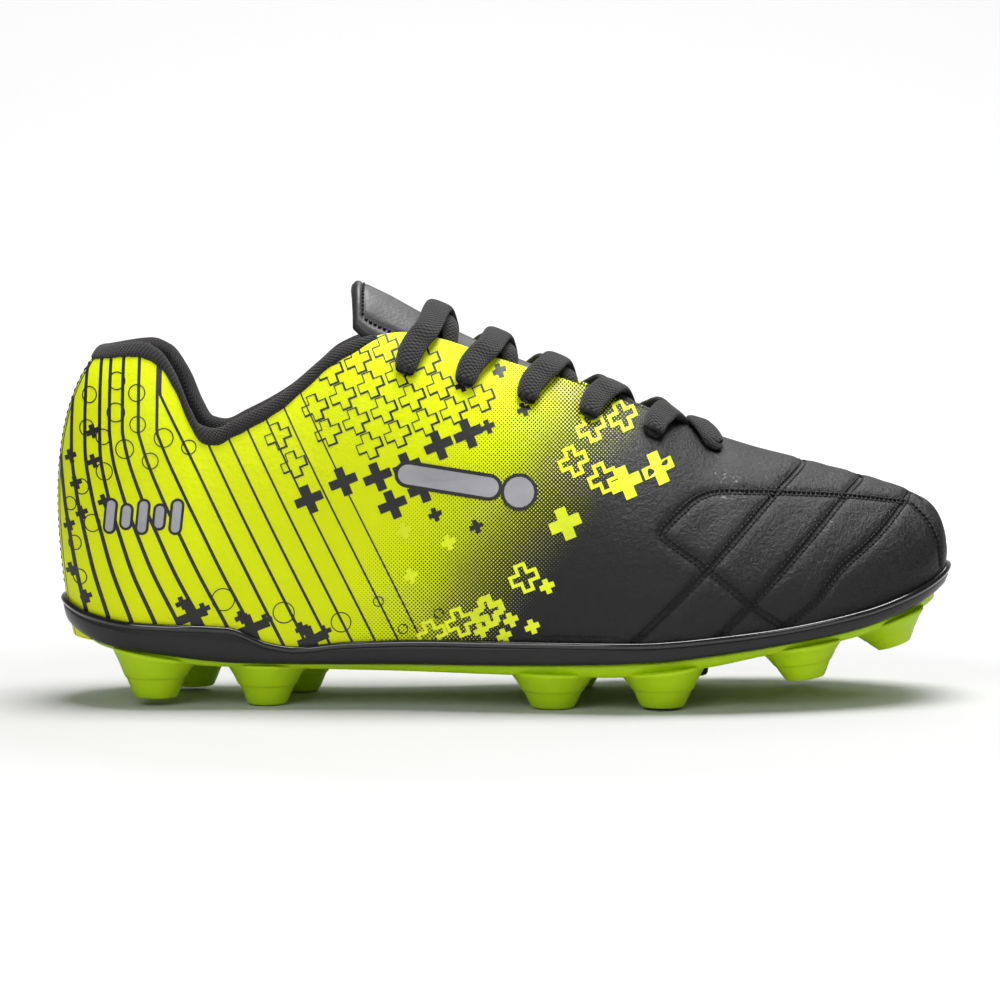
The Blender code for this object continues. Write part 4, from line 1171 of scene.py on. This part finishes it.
def tongue_normal(x, across):
    along = tongue_surface(x + 0.5, across) - tongue_surface(x - 0.5, across)
    sideways = tongue_surface(x, across + 0.02) - tongue_surface(x, across - 0.02)
    return unit(np.cross(along, sideways))


TONGUE_TIP_X = 92.6
TONGUE_SEAM = 3.2
TONGUE_HALF_THICK = 2.4


def tongue_pad():
    """Top and underside of the tongue: leather over foam, rounded and sewn down near its edge."""
    x = TONGUE_TIP_X + (THROAT_END_X + 2 - TONGUE_TIP_X) * np.linspace(0, 1, 150)[:, None] ** 1.15
    across = np.sin(np.linspace(-np.pi / 2, np.pi / 2, 61))[None, :]
    half = tongue_half(x)
    from_edge = np.minimum((1 - np.abs(across)) * half, (x - TONGUE_TIP_X) * 1.2)
    edge = np.sqrt(np.clip(1 - np.clip(1 - from_edge / 1.8, 0, 1) ** 2, 0, 1))
    seam = np.exp(-((from_edge - TONGUE_SEAM) / 0.7) ** 2)
    crown = np.clip(from_edge / 12, 0, 1)
    lift = 0.15 + 0.55 * crown - 0.55 * seam
    normal = tongue_normal(x, across)
    middle = tongue_surface(x, across) - normal * TONGUE_HALF_THICK
    top = middle + normal * ((TONGUE_HALF_THICK + lift - 0.3) * edge)[..., None]
    low = middle - normal * ((TONGUE_HALF_THICK + 0.4 * crown - 0.3 * seam) * edge)[..., None]
    return top, low


def make_tongue():
    top, low = tongue_pad()
    points, faces = shell(top, low)
    count = top.shape[0] * top.shape[1]
    looks = [0 if max(face) < count else 1 for face in faces.tolist()]
    pad = add_mesh("tongue", points, faces.tolist(), [TONGUE_LEATHER, COLLAR_MESH], shell_flat(top), looks)
    flap_bends(pad)
    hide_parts("tongue_face", "tongue_foam", "tongue_lining", "tongue_flap_face", "tongue_flap_foam",
                "tongue_flap_lining")
    rows = []
    x = np.arange(TONGUE_TIP_X + TONGUE_SEAM, 135, 0.6)
    for side in SIDES:
        across = side * (1 - TONGUE_SEAM / tongue_half(x))
        rows.append(stitch_row(tongue_surface(x, across), tongue_normal(x, across), 0))
    across = np.linspace(-0.8, 0.8, 50)
    tip = np.full(50, TONGUE_TIP_X + 2.7)
    rows.append(stitch_row(tongue_surface(tip, across), tongue_normal(tip, across), 0))
    flap_bends(add_stitches("tongue_stitching", rows, -0.15))


def flap_bends(piece):
    """Bakes the piece's placement into its mesh; the ends of the tongue's fold above the top lace are not
    used.
    """
    start, end = (tuple(in_row_frame((x, MIDDLE_Y, float(tongue_z(x))))) for x in (FLAP_X + 6, FLAP_X - 6))
    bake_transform(piece)


LACE_WIDE, LACE_THICK = 8.0, 2.7
LACE_LIFT = 2.9
UNDER_DEPTH = 4.0


def lace_stop(place, outward, wide, thick):
    """A place on the lace's middle line, which way its face looks there, its width and thickness."""
    return np.array(place, float), np.array(outward, float), wide, thick


def on_upper(x, v, side, lift, wide=LACE_WIDE, thick=LACE_THICK):
    """A stop of the lace over the skin, or under it if the lift is negative."""
    u = float(share_at(x))
    place = surface(u, v, side) + surface_normal(u, v, side) * lift
    return lace_stop(place, surface_normal(u, v, side), wide, thick)


def through_hole(number, side):
    """Up through a hole, bunched, then spreading as the lace folds over the edge of the throat."""
    x, v = FIRST_EYELET_X + EYELET_STEP * number, EYELET_ROW
    u = float(share_at(x))
    normal = surface_normal(u, v, side)
    down = unit(surface(u, v - 0.05, side) - surface(u, v + 0.05, side))
    bunched = ((UNDER_DEPTH, -0.3, 4.0, 1.6), (1.6, 0.0, 3.6, 2.4), (0.0, 0.3, 4.4, 2.8))
    stops = [lace_stop(surface(u, v, side) - depth * normal, down + lean * normal, wide, thick)
             for depth, lean, wide, thick in bunched]
    return stops + [on_upper(x - 0.2, v - 0.012, side, 1.5, 6.2, 3.0)]


def over_hole(x, side):
    """The wide visible loop that rises from a hole to the edge of the throat."""
    return [on_upper(x + 0.6, 0.90, side, 2.1, 7.6, 3.0), on_upper(x + 2.2, 0.95, side, 2.2),
            on_upper(x + 4.4, 1.0, side, 2.8)]


def lace_half(side):
    """From a tucked-in end, through the holes of both sides in turn, to the last hole."""
    stops = [on_upper(FIRST_EYELET_X, 0.6, side, -UNDER_DEPTH - 1.4, 4, 1.2),
             on_upper(FIRST_EYELET_X, 0.76, side, -UNDER_DEPTH - 0.6, 4, 1.2)]
    for number in range(EYELETS):
        stops += through_hole(number, side)
        if number == EYELETS - 1:
            break
        x = FIRST_EYELET_X + EYELET_STEP * number
        middle = x + EYELET_STEP / 2
        lift = LACE_LIFT + (LACE_THICK + 0.2) * (side == LATERAL)
        stops += over_hole(x, side)
        stops.append(lace_stop((middle, float(centre_y(middle)), float(tongue_z(middle)) + lift), (0.4, 0, 1),
                               LACE_WIDE, LACE_THICK))
        side = -side
        aside = (middle + 1.5, 0.34 * side)
        stops.append(lace_stop(tongue_surface(*aside) + LACE_LIFT * tongue_normal(*aside),
                               tongue_normal(*aside), 6.2, 2.0))
        stops.append(on_upper(x + EYELET_STEP - 4.5, 1.0, side, -UNDER_DEPTH - 0.6, 4.4, 1.2))
        stops.append(on_upper(x + EYELET_STEP - 1.5, 0.93, side, -UNDER_DEPTH, 4.2, 1.2))
    return stops


def lace_bar():
    """The straight stretch of lace between the two front holes."""
    x = FIRST_EYELET_X + EYELET_STEP * (EYELETS - 1) - 2
    crest = lace_stop((x - 1, float(centre_y(x)), float(top_z(x)) + 2.6), (0.3, 0, 1), LACE_WIDE, LACE_THICK)
    return [on_upper(x, 0.93, MEDIAL, 2.3), crest, on_upper(x, 0.93, LATERAL, 2.3)]


def through_points(points, per_step):
    """A smooth line through every point (Catmull-Rom with even steps)."""
    points = np.array(points, float)
    padded = np.concatenate([2 * points[:1] - points[1:2], points, 2 * points[-1:] - points[-2:-1]])
    made = []
    for a, b, c, d in zip(padded[:-3], padded[1:-2], padded[2:-1], padded[3:]):
        ends = [0.0]
        for first, second in ((a, b), (b, c), (c, d)):
            ends.append(ends[-1] + max(np.linalg.norm(second[:3] - first[:3]), 0.05) ** 0.5)
        for t in ends[1] + (ends[2] - ends[1]) * np.arange(per_step) / per_step:
            ab = a + (b - a) * (t - ends[0]) / (ends[1] - ends[0])
            bc = b + (c - b) * (t - ends[1]) / (ends[2] - ends[1])
            cd = c + (d - c) * (t - ends[2]) / (ends[3] - ends[2])
            abc = ab + (bc - ab) * (t - ends[0]) / (ends[2] - ends[0])
            bcd = bc + (cd - bc) * (t - ends[1]) / (ends[3] - ends[1])
            made.append(abc + (bcd - abc) * (t - ends[1]) / (ends[2] - ends[1]))
    return np.array(made + [points[-1]])


def make_lace():
    """One flat braided lace through all the holes."""
    stops = lace_half(LATERAL) + lace_bar() + lace_half(MEDIAL)[::-1]
    rows = np.array([np.concatenate([place, unit(outward), [wide, thick]])
                     for place, outward, wide, thick in stops])
    path = through_points(rows, 10)
    place, outward, wide, thick = path[:, :3], path[:, 3:6], path[:, 6:7], path[:, 7:8]
    along = unit(np.gradient(place, axis=0))
    outward = square_to(along, outward)
    sideways = np.cross(along, outward)
    turn = np.linspace(0, 2 * np.pi, 25)
    across = np.sign(np.cos(turn)) * np.abs(np.cos(turn)) ** 0.65 / 2
    over = np.sign(np.sin(turn)) * np.abs(np.sin(turn)) ** 0.8 / 2
    grid = (place[:, None] + across[None, :, None] * (wide * sideways)[:, None]
            + over[None, :, None] * (thick * outward)[:, None])
    flat = np.stack(np.broadcast_arrays(lengths(place)[:, None], turn[None, :] * 3.0), -1).reshape(-1, 2)
    rows_count, columns = grid.shape[:2]
    faces = grid_faces(rows_count, columns).tolist()
    faces.append(list(range(columns - 1)))
    faces.append(list(range((rows_count - 1) * columns, rows_count * columns - 1)))
    rides(add_mesh("lace_woven", grid.reshape(-1, 3), faces, [LACE_BRAID], flat), "rear", "lace")


# ---------------------------------------------------------------- CAD nodes that stay, and the stage


def dress_cad():
    """The stiff inner parts keep their CAD shape and get finished materials."""
    for node, material in (("heel_counter", STIFFENER), ("heel_filler", FOAM), ("shank_plate", STEEL)):
        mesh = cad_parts[node].data
        mesh.materials.clear()
        mesh.materials.append(material)


# Lamps: (name, place, size, power)
LAMPS = (("key", (-0.55, -1.3, 0.85), 0.9, 8.5), ("fill", (0.9, -1.1, 1.1), 0.6, 3.0),
         ("top", (0.15, 0.1, 1.5), 1.0, 38), ("back", (0.3, 1.0, 1.1), 0.8, 4),
         ("front_low", (0.15, -1.5, 0.35), 0.9, 0.7))
WORLD_LIGHT = 0.12
FLOOR_WHITE = 0.5
GLOW_FROM_TO = (0.17, 0.6)


def floor_finish():
    """A matt white that is lit by the lamps round the shoe and glows evenly away from it."""
    look = Look("floor_white")
    place = look.node("NewGeometry", {}, output="Position")
    away = look.ramp(look.node("VectorMath", {0: place}, "Value", operation="LENGTH"), *GLOW_FROM_TO)
    seen = look.node("LightPath", {}, output="Is Camera Ray")
    look.set(Base_Color=(FLOOR_WHITE,) * 3, Roughness=0.8, Emission_Color=(1.0, 1.0, 1.0),
             Emission_Strength=look.math("MULTIPLY", seen, look.math("MULTIPLY", away, 0.6)))
    return look.material


def make_stage():
    """A pale floor that turns up into a backdrop, soft lamps and a dim white world."""
    profile = [(-1.5, 0.0), (1.2, 0.0)]
    profile += [(1.2 + 0.8 * math.sin(a), 0.8 - 0.8 * math.cos(a)) for a in np.linspace(0.1, math.pi / 2, 14)]
    profile += [(2.0, 3.5)]
    mesh = bpy.data.meshes.new("floor")
    points = [(x, y, z - 0.0002) for y, z in profile for x in (-4.0, 4.0)]
    faces = [(2 * k, 2 * k + 1, 2 * k + 3, 2 * k + 2) for k in range(len(profile) - 1)]
    mesh.from_pydata(points, [], faces)
    mesh.polygons.foreach_set("use_smooth", [True] * len(faces))
    mesh.materials.append(floor_finish())
    floor = bpy.data.objects.new("floor", mesh)
    bpy.context.scene.collection.objects.link(floor)
    for name, place, size, power in LAMPS:
        lamp = bpy.data.lights.new(name, "AREA")
        lamp.shape, lamp.size, lamp.energy = "DISK", size, power
        made = bpy.data.objects.new(name, lamp)
        made.location = place
        made.rotation_euler = (Vector((0, 0, 0.05)) - Vector(place)).to_track_quat("-Z", "Y").to_euler()
        bpy.context.scene.collection.objects.link(made)
    world = bpy.data.worlds.new("studio")
    world.use_nodes = True
    world.node_tree.nodes["Background"].inputs["Color"].default_value = (1, 1, 1, 1)
    world.node_tree.nodes["Background"].inputs["Strength"].default_value = WORLD_LIGHT
    bpy.context.scene.world = world
    bpy.context.scene.view_settings.view_transform = "Standard"


SENSOR, LENS = 36.0, 143.0
FRAME_WIDTH = 0.3143
LOOK_AT = Vector((-0.0021, 0.0, 0.0618))
ELEVATION = math.radians(4.5)


def make_camera():
    """A long lens at the outer side, a little above the ground."""
    camera = bpy.data.cameras.new("camera")
    camera.lens, camera.sensor_width = LENS, SENSOR
    made = bpy.data.objects.new("camera", camera)
    far = FRAME_WIDTH * LENS / SENSOR
    back = Vector((0, -math.cos(ELEVATION), math.sin(ELEVATION)))
    made.location = LOOK_AT + back * far
    made.rotation_euler = (-back).to_track_quat("-Z", "Y").to_euler()
    bpy.context.scene.collection.objects.link(made)
    bpy.context.scene.camera = made


make_skin()
make_toe_stitching()
make_heel_seam()
make_print()
make_sidewall()
make_plate()
make_centre_stud()
make_footbed()
make_inner_layers()
make_collar()
make_tongue()
make_lace()
dress_cad()
make_stage()
make_camera()
